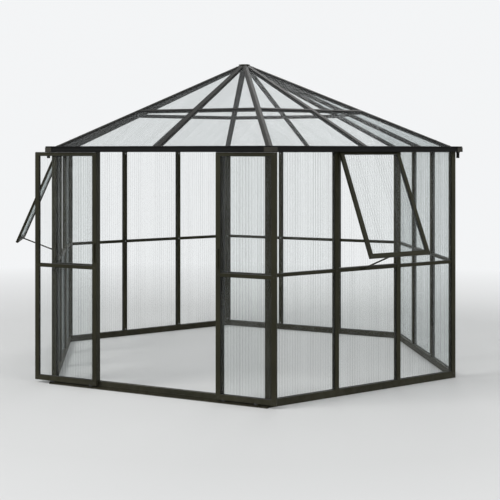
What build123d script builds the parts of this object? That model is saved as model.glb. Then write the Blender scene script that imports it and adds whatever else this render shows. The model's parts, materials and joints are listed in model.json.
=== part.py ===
"""Hexagonal polycarbonate greenhouse with two sliding doors and two top-hung windows.

Frame: millimetres, +Z up, origin on the ground in the middle of the hexagon. The doorway is in the
side that faces -Y. A side is drawn in its own coordinates, x to the right as seen from outside, y
inwards from the outer wall face and z up, and then turned about Z to its place.
"""

import os
from math import atan, cos, radians, sin, tan

from build123d import *

# Plan
SIDE = 2040.0  # outer length of one wall, which is also the radius of the hexagon
WALL_DEPTH = 40.0
BAYS = 3  # bays in a wall
CORNER_ARM = 45.0  # how far a corner post reaches along each wall
POST_WIDTH = 40.0

# Heights
BASE_HEIGHT = 58.0
MID_RAIL_Z = 1010.0
MID_RAIL_HEIGHT = 25.0
EAVE_Z = 1988.0  # underside of the gutter and top of the posts
ROOF_SEAT = 24.0  # from the eave's underside to the middle of the roof sheets, at the wall's face
ROOF_RISE = 820.0  # from there to where the planes of the roof sheets would meet

# Sheets and profiles
SHEET = 6.0
GROOVE_DEPTH = 10.0
SHEET_Y = 14.0  # outer face of a wall sheet, from the wall's outer face
WALL_THICKNESS = 2.5  # of a hollow profile
MID_RAIL_SETBACK = 4.0

# Gutter
GUTTER_REACH = 52.0
GUTTER_HEIGHT = 48.0
FASCIA_STEP = 5.0  # how far the fascia's upper band stands back
SHOULDER_RISE = 22.0  # from the eave's underside to the top of the fascia's lower band
SHOULDER_RADIUS = 3.0
BEAD_RADIUS = 5.0
GUIDE_DEPTH = 12.0  # of the slot for the doors, below the trough
TROUGH_FLOOR = 2.0
SHELF_GAP = 0.4  # between the gutter's shelf and the head rail that it is screwed to
MITRE_GAP = 0.4  # between two fascias, under a corner cover
GUIDE_SLOT = 16.0
GUIDE_LEG = 2.0
CORNER_COVER = 62.0
COVER_THICKNESS = 3.0
COVER_LIP = 1.0  # how far a corner cover hangs below the eave
SPOUT_BORE = 12.0
SPOUT_WALL = 2.0
SPOUT_COLLAR = 4.0
SPOUT_COLLAR_DEPTH = 5.0
SPOUT_LENGTH = 55.0
SPOUT_INSET = 30.0  # from the corner of the walls, along a side
SPOUT_REACH = 30.0  # from the wall's outer face

# Roof
SHEET_OVERHANG = 6.0  # of the roof sheets over the gutter
SHEET_PLAY = 1.0  # from a roof sheet's edge to the web of a bar
SHEET_END_GAP = 8.0  # from the hub to the upper sheets
HIP_WIDTH = 50.0
RAFTER_WIDTH = 40.0
PURLIN_WIDTH = 26.0
PURLIN_RADIUS = 1187.0  # of the ring, along a hip
BAR_WEB = 12.0
CAP_FLANGE = 6.0
SHELF_FLANGE = 3.0
BAR_DEPTH = 28.0  # below the middle of the sheets
PURLIN_DEPTH = 22.0
HIP_SETBACK = 8.0  # from the corner of the walls to the foot of a hip
HUB_INRADIUS = 45.0
HUB_DEPTH = 56.0
HUB_CHAMFER = 6.0
CAP_THICKNESS = 6.0
CAP_OVERHANG = 3.0
CAP_CHAMFER = 3.0

# Doorway and leaves
OPENING_LEFT = -556.0
OPENING_RIGHT = 576.0
JAMB_WIDTH = 30.0
LEAF_GAP = 14.0  # from the wall to the back of a leaf
LEAF_THICKNESS = 26.0
LEAF_EDGE = 2.0  # radius of the upright edges of leaves and sashes
LEAF_BOTTOM = 26.0
LEAF_TOP_GAP = 5.0
LEAF_LEFT_WIDTH = 620.0
LEAF_LEFT_OPEN_X = -1166.0  # left edge of the left leaf, open
LEAF_RIGHT_WIDTH = 520.0
LEAF_RIGHT_OPEN_X = 566.0
LEAF_STILE = 40.0
LEAF_TOP_RAIL = 28.0
LEAF_BOTTOM_RAIL = 42.0
LEAF_MID_RAIL_Z = 1001.0
LEAF_MID_RAIL = 28.0
LEAF_GROOVE = 8.0
PULL_WIDTH = 12.0
PULL_DEPTH = 14.0
PULL_GRIP = 5.0
PULL_LENGTH = 160.0
PULL_Z = 1060.0
PULL_INSET = 20.0  # from the leading edge of a leaf
PULL_EDGE = 2.0

# Rollers and guides
TRACK_REACH = 46.0
TRACK_FLOOR = 4.0
TRACK_BACK = 3.0
TRACK_BACK_HEIGHT = 24.0
TRACK_INSET = 6.0  # from the corner of the walls to the end of the track
TRACK_RIB_WIDTH = 4.0
TRACK_RIB_TOP = 14.0
WHEEL_RADIUS = 13.0
WHEEL_WIDTH = 9.0
WHEEL_FLANGE = 3.0  # height of the flanges that straddle the rib
WHEEL_FLANGE_EDGE = 1.2
WHEEL_GAP = 0.5  # between wheel and rib
WHEEL_SLOT_GAP = 3.0  # between a wheel's rim and the slot in the leaf
WHEEL_SLOT_SIDE = 1.5
WHEEL_INSET = 62.0
OUTER_WHEEL_INSET = 178.0  # keeps the open left leaf's outer wheel on the track
AXLE_RADIUS = 3.0
STOP_GAP = 5.5  # from an open leaf's wheel to its stop
STOP_THICKNESS = 4.0
STOP_HEIGHT = 20.0
SHOE_LENGTH = 60.0
SHOE_THICKNESS = 6.0
SHOE_TOP_GAP = 6.0

# Windows
WINDOW_HEIGHT = 908.0
WINDOW_OVERLAP = 6.0  # of the sash over the post on each side
WINDOW_THICKNESS = 22.0
WINDOW_BAR = 35.0
WINDOW_HEAD = 16.0
WINDOW_GAP = 2.0  # from the wall's outer face to a closed sash
WINDOW_ANGLE = 23.6
HINGE_DROP = 8.0  # from the eave's underside
HINGE_Y = -6.0
HINGE_BEAD = 4.0
HINGE_NECK = 3.0
HINGE_GAP = 0.3
HINGE_INSET = 20.0
SURROUND = 4.0
SILL_HEIGHT = 8.0
STAY_X = -65.0
STAY_WIDTH = 12.0
STAY_THICKNESS = 4.0
STAY_HOLES = 5
STAY_HOLE_RADIUS = 2.2
STAY_HOLE_PITCH = 32.0
STAY_SEAT = 4.0  # how far the stay's end is let into the sash
STAY_FOOT_REACH = 8.0  # of the pin, in front of the mid rail
FOOT_WIDTH = 28.0
FOOT_HEIGHT = 17.0
FOOT_PLATE = 3.0
FOOT_PIN_RADIUS = 2.5

SIDE_NAMES = ("front", "front_right", "back_right", "back", "back_left", "front_left")
WINDOW_SIDES = (1, 5)

APOTHEM = SIDE * cos(radians(30))
HALF = SIDE / 2
BEYOND = SIDE / 10  # how far a cutting shape runs past what it cuts
PIN_SIDES = 8  # of pins and small holes
GUTTER_TOP = EAVE_Z + GUTTER_HEIGHT
TROUGH_Z = EAVE_Z + GUIDE_DEPTH
APEX_Z = EAVE_Z + ROOF_SEAT + ROOF_RISE
HIP_DROP = ROOF_RISE / SIDE  # fall of a hip for each unit of its plan length
SLOPE = atan(HIP_DROP / cos(radians(30)))
HIP_SLOPE = atan(HIP_DROP)
BAY_POST_X = SIDE / BAYS / 2
LEAF_MID_Y = -LEAF_GAP - LEAF_THICKNESS / 2
LEAF_TOP = EAVE_Z - LEAF_TOP_GAP
WHEEL_Z = TRACK_RIB_TOP + WHEEL_GAP + WHEEL_RADIUS
LEFT_WHEELS = (
    LEAF_LEFT_OPEN_X + OUTER_WHEEL_INSET, LEAF_LEFT_OPEN_X + LEAF_LEFT_WIDTH - WHEEL_INSET,
)
RIGHT_WHEELS = (
    LEAF_RIGHT_OPEN_X + WHEEL_INSET, LEAF_RIGHT_OPEN_X + LEAF_RIGHT_WIDTH - OUTER_WHEEL_INSET,
)
HINGE_Z = EAVE_Z - HINGE_DROP
OUTLETS = {2: -HALF + SPOUT_INSET, 5: HALF - SPOUT_INSET}  # x of the spout on a side


def roof_z(y, offset=0.0):
    """Height of the roof plane above a side's y, moved by offset square to the plane."""
    return APEX_Z - (APOTHEM - y) * tan(SLOPE) + offset / cos(SLOPE)


def place(shape, side):
    """Turns a shape drawn on the front side to another side."""
    return Rot(0, 0, 60 * side) * Pos(0, -APOTHEM, 0) * shape


def block(x0, x1, y0, y1, z0, z1):
    """A box between two corners."""
    return Pos((x0 + x1) / 2, (y0 + y1) / 2, (z0 + z1) / 2) * Box(x1 - x0, y1 - y0, z1 - z0)


def area(a0, a1, b0, b1):
    """A rectangle between two corners of a section."""
    return Pos((a0 + a1) / 2, (b0 + b1) / 2) * Rectangle(a1 - a0, b1 - b0)


def outline(points):
    """A section with straight edges."""
    return make_face(Polyline(*points, close=True))


def pin(radius):
    """Section of a pin or a small hole."""
    return RegularPolygon(radius, PIN_SIDES, major_radius=False)


def upright(section, z0, z1):
    """A section drawn in (x, y), run from z0 up to z1."""
    return Pos(0, 0, z0) * extrude(section, z1 - z0, dir=(0, 0, 1))


def rail(section, x0, x1):
    """A section drawn in (y, z), run along x."""
    plane = Plane(origin=(x0, 0, 0), x_dir=(0, 1, 0), z_dir=(1, 0, 0))
    return extrude(plane * section, x1 - x0, dir=(1, 0, 0))


def sector(inset=0.0):
    """The upright wedge of one side, from the middle of the hexagon outwards, with its two faces
    moved inwards by inset."""
    tip = inset / sin(radians(30))
    spread = (APOTHEM + BEYOND - tip) * tan(radians(30))
    wedge = outline([(0, APOTHEM - tip), (-spread, -BEYOND), (spread, -BEYOND)])
    return upright(wedge, -BEYOND, APEX_Z + BEYOND)


def post(x0, x1, z0, z1, grooved):
    """An upright of the wall from x0 to x1: a flat chamber outside, a deep one inside and, in each
    edge that grooved lists, a groove for the sheets."""
    y1, y2, t = SHEET_Y, SHEET_Y + SHEET, WALL_THICKNESS
    section = area(x0, x1, 0, WALL_DEPTH)
    section -= area(x0 + t, x1 - t, t, y1 - t)
    section -= area(x0 + t, x1 - t, y2 + t, WALL_DEPTH - t)
    for x in grooved:
        section -= area(x - GROOVE_DEPTH, x + GROOVE_DEPTH, y1, y2)
    return upright(section, z0, z1)


def wall_post(x):
    """The post between two bays of a side."""
    x0, x1 = x - POST_WIDTH / 2, x + POST_WIDTH / 2
    return post(x0, x1, BASE_HEIGHT, EAVE_Z, (x0, x1))


def mid_rail(x0, x1):
    """A level glazing bar between two uprights, grooved above and below."""
    y0, y3 = MID_RAIL_SETBACK, WALL_DEPTH - MID_RAIL_SETBACK
    y1, y2 = SHEET_Y, SHEET_Y + SHEET
    z0, z3 = MID_RAIL_Z, MID_RAIL_Z + MID_RAIL_HEIGHT
    section = area(y0, y3, z0, z3)
    section -= area(y1, y2, z0, z0 + LEAF_GROOVE) + area(y1, y2, z3 - LEAF_GROOVE, z3)
    return rail(section, x0, x1)


def base_rail():
    """The bottom rail of a side, with a groove along its top and a hollow core."""
    groove, t = BASE_HEIGHT - GROOVE_DEPTH, WALL_THICKNESS
    end = HALF - CORNER_ARM
    section = area(0, WALL_DEPTH, 0, BASE_HEIGHT)
    section -= area(SHEET_Y, SHEET_Y + SHEET, groove, BASE_HEIGHT)
    section -= area(t, WALL_DEPTH - t, t, groove - t)
    return rail(section, -end, end)


def fascia():
    """Section of the gutter's front: a lower band, a rounded shoulder, an upper band that stands
    back and a rolled bead along the top."""
    t = WALL_THICKNESS
    low, high = -GUTTER_REACH, -GUTTER_REACH + FASCIA_STEP
    shoulder, bead_z = EAVE_Z + SHOULDER_RISE, GUTTER_TOP - BEAD_RADIUS
    band = outline([
        (low, EAVE_Z), (low + t, EAVE_Z), (low + t, shoulder - t / 2), (high + t, shoulder + t),
        (high + t, bead_z), (high, bead_z), (high, shoulder + t), (low, shoulder),
    ])
    corner = band.vertices().sort_by_distance((low, shoulder))[0]
    return fillet(corner, SHOULDER_RADIUS) + Pos(low + BEAD_RADIUS, bead_z) * Circle(BEAD_RADIUS)


def head_section():
    """Section of the head rail, whose top slopes with the roof sheets that lie on it."""
    head = outline([
        (0, EAVE_Z), (WALL_DEPTH, EAVE_Z), (WALL_DEPTH, roof_z(WALL_DEPTH, -SHEET / 2)),
        (0, roof_z(0, -SHEET / 2)),
    ])
    return head - area(SHEET_Y, SHEET_Y + SHEET, EAVE_Z, EAVE_Z + GROOVE_DEPTH)


def shelf_section():
    """Section of the gutter's shelf: the trough's floor, the leg that is screwed to the head rail
    and, below the floor, the slot that guides the doors."""
    leg, floor = GUIDE_SLOT / 2 + GUIDE_LEG, TROUGH_Z + TROUGH_FLOOR
    trough = area(-GUTTER_REACH + WALL_THICKNESS, -SHELF_GAP, TROUGH_Z, floor)
    back = area(-SHELF_GAP - GUIDE_LEG, -SHELF_GAP, EAVE_Z, floor)
    guide = area(LEAF_MID_Y - leg, LEAF_MID_Y + leg, EAVE_Z, floor)
    guide -= area(LEAF_MID_Y - GUIDE_SLOT / 2, LEAF_MID_Y + GUIDE_SLOT / 2, EAVE_Z, TROUGH_Z)
    return trough + back + guide


def mitred(section, inset=0.0):
    """A section run along a side, mitred at its ends with each mitre moved inwards by inset."""
    return rail(section, -HALF - BEYOND, HALF + BEYOND) & sector(inset)


def eave(outlet_x=None):
    """The head rail and gutter shelf of one side, with an outlet through the shelf at outlet_x."""
    head, shelf = mitred(head_section()), mitred(shelf_section())
    if outlet_x is not None:
        pipe, bore = Circle(SPOUT_BORE + SPOUT_WALL), Circle(SPOUT_BORE)
        shelf -= Pos(outlet_x, -SPOUT_REACH, 0) * upright(pipe, EAVE_Z, TROUGH_Z)
        shelf -= Pos(outlet_x, -SPOUT_REACH, 0) * upright(bore, TROUGH_Z, GUTTER_TOP)
    return [head, shelf]


def spout(x):
    """A short drain pipe with a collar, from the trough down through the shelf."""
    outer, low = SPOUT_BORE + SPOUT_WALL, EAVE_Z - SPOUT_LENGTH
    collar, under = outer + SPOUT_COLLAR, EAVE_Z - SPOUT_COLLAR_DEPTH
    half_section = outline([
        (SPOUT_BORE, low), (outer, low), (outer, under - SPOUT_COLLAR), (collar, under),
        (collar, EAVE_Z), (outer, EAVE_Z), (outer, TROUGH_Z), (SPOUT_BORE, TROUGH_Z),
    ])
    return Pos(x, -SPOUT_REACH, 0) * revolve(Plane.XZ * half_section, Axis.Z)


def corner_post():
    """The post at the right end of the front side: two hollow arms that meet at 120 degrees, each
    with a groove for its sheet."""
    end, t = HALF - CORNER_ARM, WALL_THICKNESS
    arm = block(end, HALF + BEYOND, 0, WALL_DEPTH, 0, EAVE_Z)
    arm -= block(end, end + GROOVE_DEPTH, SHEET_Y, SHEET_Y + SHEET, 0, EAVE_Z)
    chamber = block(end + GROOVE_DEPTH + t, HALF + BEYOND, t, WALL_DEPTH - t, 0, EAVE_Z)
    arm = (arm & sector()) - (chamber & sector(t))
    return place(arm, 0) + place(mirror(arm, Plane.YZ), 1)


def gutter_corner():
    """The cover over the gutter's mitre at the right end of the front side."""
    step = -GUTTER_REACH + FASCIA_STEP
    shoulder, front = EAVE_Z + SHOULDER_RISE, -GUTTER_REACH - COVER_THICKNESS
    z0, z1 = EAVE_Z - COVER_LIP, GUTTER_TOP - 2 * BEAD_RADIUS
    bevel = COVER_THICKNESS / 2
    tip = (APOTHEM - front) * tan(radians(30))
    section = outline([
        (front + bevel, z0), (-GUTTER_REACH, z0), (-GUTTER_REACH, shoulder),
        (step, shoulder + WALL_THICKNESS), (step, z1), (front + bevel, z1), (front, z1 - bevel),
        (front, z0 + bevel),
    ])
    cover = rail(section, tip - CORNER_COVER, tip + BEYOND) & sector()
    return place(cover, 0) + place(mirror(cover, Plane.YZ), 1)


def wall_sheets(side):
    """The fixed sheets of a side, lower and upper in each bay, without the window's bay."""
    lower = (BASE_HEIGHT - GROOVE_DEPTH, MID_RAIL_Z + LEAF_GROOVE)
    upper = (MID_RAIL_Z + MID_RAIL_HEIGHT - LEAF_GROOVE, EAVE_Z + GROOVE_DEPTH)
    inner = BAY_POST_X - POST_WIDTH / 2 + GROOVE_DEPTH
    near = BAY_POST_X + POST_WIDTH / 2 - GROOVE_DEPTH
    far = HALF - CORNER_ARM + GROOVE_DEPTH
    sheets = []
    for x0, x1 in ((-far, -near), (-inner, inner), (near, far)):
        for z0, z1 in (lower, upper):
            if side in WINDOW_SIDES and x0 == -inner and (z0, z1) == upper:
                continue
            sheets.append(block(x0, x1, SHEET_Y, SHEET_Y + SHEET, z0, z1))
    return sheets


def roof_plane():
    """The plane of a side's roof sheets: origin at the apex, x along the eave, y up the slope."""
    return Plane(
        origin=(0, APOTHEM, APEX_Z), x_dir=(1, 0, 0), z_dir=(0, -sin(SLOPE), cos(SLOPE)),
    )


def slope_y(plan):
    """Distance down the slope for a plan distance from the middle of the hexagon."""
    return plan / cos(SLOPE)


def roof_sheets():
    """The four sheets of one roof face, as (upper pair, lower pair)."""
    plane = roof_plane()
    web = BAR_WEB / 2 + SHEET_PLAY
    edge = cos(SLOPE) * tan(radians(30))
    hip_inset = (BAR_WEB / 2 + 2 * SHEET_PLAY) / cos(atan(edge))
    ring = slope_y(PURLIN_RADIUS * cos(radians(30)))
    top = slope_y(HUB_INRADIUS / cos(radians(30)) + SHEET_END_GAP)
    eave_edge = slope_y(APOTHEM + SHEET_OVERHANG)

    def hip_x(s):
        return s * edge - hip_inset

    pairs = []
    for s0, s1 in ((top, ring - web), (ring + web, eave_edge)):
        corners = [(web, -s0), (hip_x(s0), -s0), (hip_x(s1), -s1), (web, -s1)]
        sheet = extrude(plane * outline(corners), SHEET / 2, both=True)
        pairs.append([sheet, mirror(sheet, Plane.YZ)])
    return pairs


def bar_section(width, fall=0.0, depth=BAR_DEPTH):
    """Section of a roof bar square to its run: cap, web and shelf, with grooves for the sheets.
    fall is the angle at which the sheets drop to each side."""
    def at(u, offset):
        return (u, offset / cos(fall) - u * tan(fall))

    half, web, s = width / 2, BAR_WEB / 2, SHEET / 2
    right = [
        at(0, s + CAP_FLANGE), at(half, s + CAP_FLANGE), at(half, s), at(web, s), at(web, -s),
        at(half, -s), at(half, -s - SHELF_FLANGE), at(web, -s - SHELF_FLANGE), (web, -depth),
    ]
    left = [(-u, w) for u, w in reversed(right) if u > 0]
    return outline(right + left)


def head_block():
    """What a roof bar gives way to at its foot: the head rail and all below the sheets."""
    y0, y1, low = -BEYOND, WALL_DEPTH, EAVE_Z - BEYOND
    section = outline([
        (y0, low), (y1, low), (y1, roof_z(y1, -SHEET / 2)), (y0, roof_z(y0, -SHEET / 2)),
    ])
    return rail(section, -HALF - BEYOND, HALF + BEYOND) & sector()


def rafter():
    """The roof bar down the middle of a side."""
    down = Vector(0, -cos(SLOPE), -sin(SLOPE))
    plane = Plane(origin=(0, APOTHEM, APEX_Z), x_dir=(1, 0, 0), z_dir=down)
    length = slope_y(APOTHEM + SHEET_OVERHANG)
    bar = extrude(plane * bar_section(RAFTER_WIDTH), length)
    hub_y = APOTHEM - HUB_INRADIUS / cos(radians(30))
    middle = block(-BEYOND, BEYOND, hub_y, APOTHEM + BEYOND, EAVE_Z, APEX_Z + BEYOND)
    return (bar & sector(HIP_WIDTH / 2)) - head_block() - middle


def purlins():
    """The two bars of the ring on one roof face."""
    ring = slope_y(PURLIN_RADIUS * cos(radians(30)))
    base = roof_plane()
    start = base.from_local_coords(Vector(RAFTER_WIDTH / 2, -ring, 0))
    plane = Plane(origin=start, x_dir=base.y_dir, z_dir=(1, 0, 0))
    section = plane * bar_section(PURLIN_WIDTH, depth=PURLIN_DEPTH)
    bar = extrude(section, PURLIN_RADIUS, dir=(1, 0, 0)) & sector(HIP_WIDTH / 2)
    return [bar, mirror(bar, Plane.YZ)]


def hip():
    """The roof bar over the corner at the right end of the front side."""
    down = Vector(cos(HIP_SLOPE), 0, -sin(HIP_SLOPE))
    plane = Plane(origin=(0, 0, APEX_Z), x_dir=(0, 1, 0), z_dir=down)
    length = (SIDE + SHEET_OVERHANG / cos(radians(30))) / cos(HIP_SLOPE)
    bar = extrude(plane * bar_section(HIP_WIDTH, fall_across_hip()), length)
    top = APEX_Z + BEYOND
    bar -= block(-BEYOND, HUB_INRADIUS, -BEYOND, BEYOND, EAVE_Z, top)
    bar -= block(SIDE - HIP_SETBACK, SIDE + BEYOND, -BEYOND, BEYOND, EAVE_Z - BEYOND, top)
    bar = Rot(0, 0, -60) * bar
    return bar - place(head_block(), 0) - place(head_block(), 1)


def fall_across_hip():
    """Angle at which the sheets drop away to each side of a hip, square to the hip."""
    face = Vector(0, -sin(SLOPE), cos(SLOPE))
    other = face.rotate(Axis.Z, 60)
    return radians(face.get_angle(other) / 2)


def bar_top_z(plan):
    """Height of the top of a hip at a plan distance from the middle."""
    rise = (SHEET / 2 + CAP_FLANGE) / cos(fall_across_hip()) / cos(HIP_SLOPE)
    return APEX_Z - plan * HIP_DROP + rise


def hexagon(inradius, z0, z1):
    """A hexagonal prism on the Z axis, with a flat towards each hip."""
    return upright(RegularPolygon(inradius, 6, major_radius=False, rotation=30), z0, z1)


def hub():
    """The block that the hips and rafters meet at, with its lower edge cut back."""
    top = bar_top_z(HUB_INRADIUS)
    body = hexagon(HUB_INRADIUS, top - HUB_DEPTH, top)
    return chamfer(body.faces().sort_by(Axis.Z)[0].edges(), HUB_CHAMFER)


def cap():
    """The plate over the hub and the heads of the bars."""
    low = bar_top_z(HUB_INRADIUS)
    plate = hexagon(HUB_INRADIUS + CAP_OVERHANG, low, low + CAP_THICKNESS)
    return chamfer(plate.faces().sort_by(Axis.Z)[-1].edges(), CAP_CHAMFER)


def framed(x0, x1, z0, z1, y0, y1, stile, top, bottom, mids=()):
    """A frame with its openings cut through and a groove round each for the sheet. mids are
    (z, height) of cross rails. The stiles are hollow and their upright edges rounded. Returns the
    frame and its sheets."""
    t, middle = WALL_THICKNESS, (y0 + y1) / 2
    corners = area(x0, x1, y0, y1)
    section = fillet(corners.vertices(), LEAF_EDGE)
    chamber = stile - LEAF_GROOVE - t
    section -= area(x0 + t, x0 + chamber, y0 + t, y1 - t)
    section -= area(x1 - chamber, x1 - t, y0 + t, y1 - t)
    frame = upright(section, z0, z1)
    levels = [z0 + bottom] + [z for rung in mids for z in (rung[0], rung[0] + rung[1])] + [z1 - top]
    sheets = []
    for low, high in zip(levels[::2], levels[1::2]):
        frame -= block(x0 + stile, x1 - stile, y0, y1, low, high)
        sheet = block(
            x0 + stile - LEAF_GROOVE, x1 - stile + LEAF_GROOVE, middle - SHEET / 2,
            middle + SHEET / 2, low - LEAF_GROOVE, high + LEAF_GROOVE,
        )
        frame -= sheet
        sheets.append(sheet)
    return frame, sheets


def wheel(x):
    """A wheel with a flange on each side of the track's rib, and its axle pin."""
    half, groove = WHEEL_WIDTH / 2, TRACK_RIB_WIDTH / 2 + WHEEL_GAP
    rim, edge = WHEEL_RADIUS + WHEEL_FLANGE, half - WHEEL_FLANGE_EDGE
    half_section = outline([
        (0, -half), (rim, -half), (rim, -edge), (WHEEL_RADIUS, -groove), (WHEEL_RADIUS, groove),
        (rim, edge), (rim, half), (0, half),
    ])
    return Pos(x, LEAF_MID_Y, WHEEL_Z) * revolve(half_section, Axis.Y) + axle(x)


def axle(x):
    """The pin of a wheel, through the leaf from face to face."""
    length = extrude(Plane.XZ * pin(AXLE_RADIUS), LEAF_THICKNESS / 2, both=True)
    return Pos(x, LEAF_MID_Y, WHEEL_Z) * length


def wheel_slot(x):
    """The slot in a leaf's bottom rail that a wheel turns in."""
    rim = WHEEL_RADIUS + WHEEL_FLANGE + WHEEL_SLOT_GAP
    half = WHEEL_WIDTH / 2 + WHEEL_SLOT_SIDE
    y0, y1 = LEAF_MID_Y - half, LEAF_MID_Y + half
    return block(x - rim, x + rim, y0, y1, LEAF_BOTTOM, WHEEL_Z + rim)


def shoe(x):
    """The block on top of a leaf that runs in the guide slot of the eave."""
    y0, y1 = LEAF_MID_Y - SHOE_THICKNESS / 2, LEAF_MID_Y + SHOE_THICKNESS / 2
    half = SHOE_LENGTH / 2
    body = block(x - half, x + half, y0, y1, LEAF_TOP, TROUGH_Z - SHOE_TOP_GAP)
    return chamfer(body.edges().filter_by(Axis.Z), SHOE_THICKNESS / 3)


def leaf(x0, width, wheels):
    """A door leaf in the open position: its frame, its sheets, and the wheels and guide shoes at
    the x that wheels lists."""
    frame, sheets = framed(
        x0, x0 + width, LEAF_BOTTOM, LEAF_TOP, -LEAF_GAP - LEAF_THICKNESS, -LEAF_GAP, LEAF_STILE,
        LEAF_TOP_RAIL, LEAF_BOTTOM_RAIL, [(LEAF_MID_RAIL_Z, LEAF_MID_RAIL)],
    )
    for x in wheels:
        frame -= wheel_slot(x) + axle(x)
    return frame, sheets, [wheel(x) for x in wheels] + [shoe(x) for x in wheels]


def pull(x):
    """A shallow pull on the outside of a leaf's leading stile."""
    y = -LEAF_GAP - LEAF_THICKNESS
    half, grip = PULL_WIDTH / 2, y - PULL_DEPTH + PULL_GRIP
    bar = block(x - half, x + half, y - PULL_DEPTH, grip, PULL_Z, PULL_Z + PULL_LENGTH)
    bar = fillet(bar.faces().sort_by(Axis.Y)[0].edges(), PULL_EDGE)
    for z in (PULL_Z, PULL_Z + PULL_LENGTH - PULL_WIDTH):
        bar += block(x - half, x + half, grip, y, z, z + PULL_WIDTH)
    return bar


def track():
    """The rail on the front of the base that the door wheels roll on, with a stop for the outer
    wheel of each leaf."""
    end = HALF - TRACK_INSET
    rib = LEAF_MID_Y - TRACK_RIB_WIDTH / 2
    section = area(-TRACK_REACH, 0, 0, TRACK_FLOOR)
    section += area(-TRACK_BACK, 0, 0, TRACK_BACK_HEIGHT)
    section += area(rib, rib + TRACK_RIB_WIDTH, 0, TRACK_RIB_TOP)
    run = rail(section, -end, end)
    reach = WHEEL_RADIUS + WHEEL_FLANGE + STOP_GAP
    for x, way in ((LEFT_WHEELS[0], -1), (RIGHT_WHEELS[1], 1)):
        near, far = x + way * reach, x + way * (reach + STOP_THICKNESS)
        run += block(min(near, far), max(near, far), -TRACK_REACH, 0, 0, STOP_HEIGHT)
    return run


def window_frame():
    """The fixed surround in a window's bay: two reveals, a head and a sill."""
    inner = BAY_POST_X - POST_WIDTH / 2
    z0 = MID_RAIL_Z + MID_RAIL_HEIGHT
    ring = block(-inner, inner, MID_RAIL_SETBACK, WALL_DEPTH - MID_RAIL_SETBACK, z0, EAVE_Z)
    return ring - block(
        -inner + SURROUND, inner - SURROUND, 0, WALL_DEPTH, z0 + SILL_HEIGHT, EAVE_Z - SURROUND
    )


def swung(shape):
    """Swings a closed sash out about its hinge."""
    return Pos(0, HINGE_Y, HINGE_Z) * Rot(-WINDOW_ANGLE, 0, 0) * Pos(0, -HINGE_Y, -HINGE_Z) * shape


def hinge(gap=0.0):
    """The fixed half of a window's hinge, larger by gap all round: a bead that the sash hangs on,
    and its neck up to the head rail."""
    half, neck = BAY_POST_X - POST_WIDTH / 2 - HINGE_INSET + gap, HINGE_NECK / 2 + gap
    section = Pos(HINGE_Y, HINGE_Z) * Circle(HINGE_BEAD + gap)
    section += area(HINGE_Y - neck, HINGE_Y + neck, HINGE_Z, EAVE_Z)
    return rail(section, -half, half)


def window():
    """The sash and sheet of an open window."""
    half = BAY_POST_X - POST_WIDTH / 2 + WINDOW_OVERLAP
    sash, sheets = framed(
        -half, half, HINGE_Z - WINDOW_HEIGHT, HINGE_Z, -WINDOW_GAP - WINDOW_THICKNESS, -WINDOW_GAP,
        WINDOW_BAR, WINDOW_HEAD, WINDOW_BAR,
    )
    return swung(sash) - hinge(HINGE_GAP), swung(sheets[0])


def stay_end():
    """Where the stay meets the bottom rail of the open sash, as (y, z)."""
    angle, drop = radians(WINDOW_ANGLE), WINDOW_HEIGHT - WINDOW_BAR / 2
    y = -WINDOW_GAP - STAY_SEAT - HINGE_Y
    return (
        HINGE_Y + y * cos(angle) - drop * sin(angle), HINGE_Z - y * sin(angle) - drop * cos(angle),
    )


def stay(sash):
    """The flat bar with a row of holes that holds a window open, from a pin in front of the mid
    rail to the open sash."""
    pin_y, pin_z = MID_RAIL_SETBACK - STAY_FOOT_REACH, MID_RAIL_Z + MID_RAIL_HEIGHT / 2
    start, end = Vector(STAY_X, pin_y, pin_z), Vector(STAY_X, *stay_end())
    run = end - start
    shape = SlotOverall(run.length + STAY_WIDTH, STAY_WIDTH)
    for hole in range(STAY_HOLES):
        x = (hole - (STAY_HOLES - 1) / 2) * STAY_HOLE_PITCH
        shape -= Pos(x, 0) * pin(STAY_HOLE_RADIUS)
    plane = Plane(origin=(start + end) / 2, x_dir=run, z_dir=(1, 0, 0))
    bar = extrude(plane * shape, STAY_THICKNESS / 2, both=True) - sash
    return bar + stay_foot(pin_y, pin_z)


def stay_foot(pin_y, pin_z):
    """The plate on the face of the mid rail, with a lug and a pin for the stay."""
    low, high = pin_z - FOOT_HEIGHT / 2, pin_z + FOOT_HEIGHT / 2
    face, side = MID_RAIL_SETBACK - FOOT_PLATE, STAY_X + STAY_THICKNESS / 2
    half = FOOT_WIDTH / 2
    plate = block(STAY_X - half, STAY_X + half, face, MID_RAIL_SETBACK, low, high)
    lug = block(side, side + FOOT_PLATE, pin_y - FOOT_PIN_RADIUS * 2, face, low, high)
    length = STAY_THICKNESS + 2 * FOOT_PLATE
    bolt = extrude(Plane.YZ * pin(FOOT_PIN_RADIUS), length / 2, both=True)
    return plate + lug + Pos(STAY_X, pin_y, pin_z) * bolt


def one_node(name, solids):
    """Writes the solids of one node."""
    shape = solids[0] if len(solids) == 1 else Compound(children=list(solids))
    export_step(shape, f"parts/{name}.step")


def write_walls():
    """Base rails, posts, mid rails, sheets and eaves, side by side."""
    inner = BAY_POST_X - POST_WIDTH / 2
    near = BAY_POST_X + POST_WIDTH / 2
    far = HALF - CORNER_ARM
    one_node("base_rails", [place(base_rail(), side) for side in range(6)])
    for side, name in enumerate(SIDE_NAMES):
        one_node(f"{name}_eave_gutter", [place(run, side) for run in eave(OUTLETS.get(side))])
        if side == 0:
            continue
        frame = []
        for x in (-BAY_POST_X, BAY_POST_X):
            frame.append(place(wall_post(x), side))
        for x0, x1 in ((-far, -near), (-inner, inner), (near, far)):
            frame.append(place(mid_rail(x0, x1), side))
        fused = frame[0].fuse(*frame[1:])
        one_node(f"{name}_wall_frame", [fused])
        one_node(f"{name}_wall_sheets", [place(s, side) for s in wall_sheets(side)])


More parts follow.
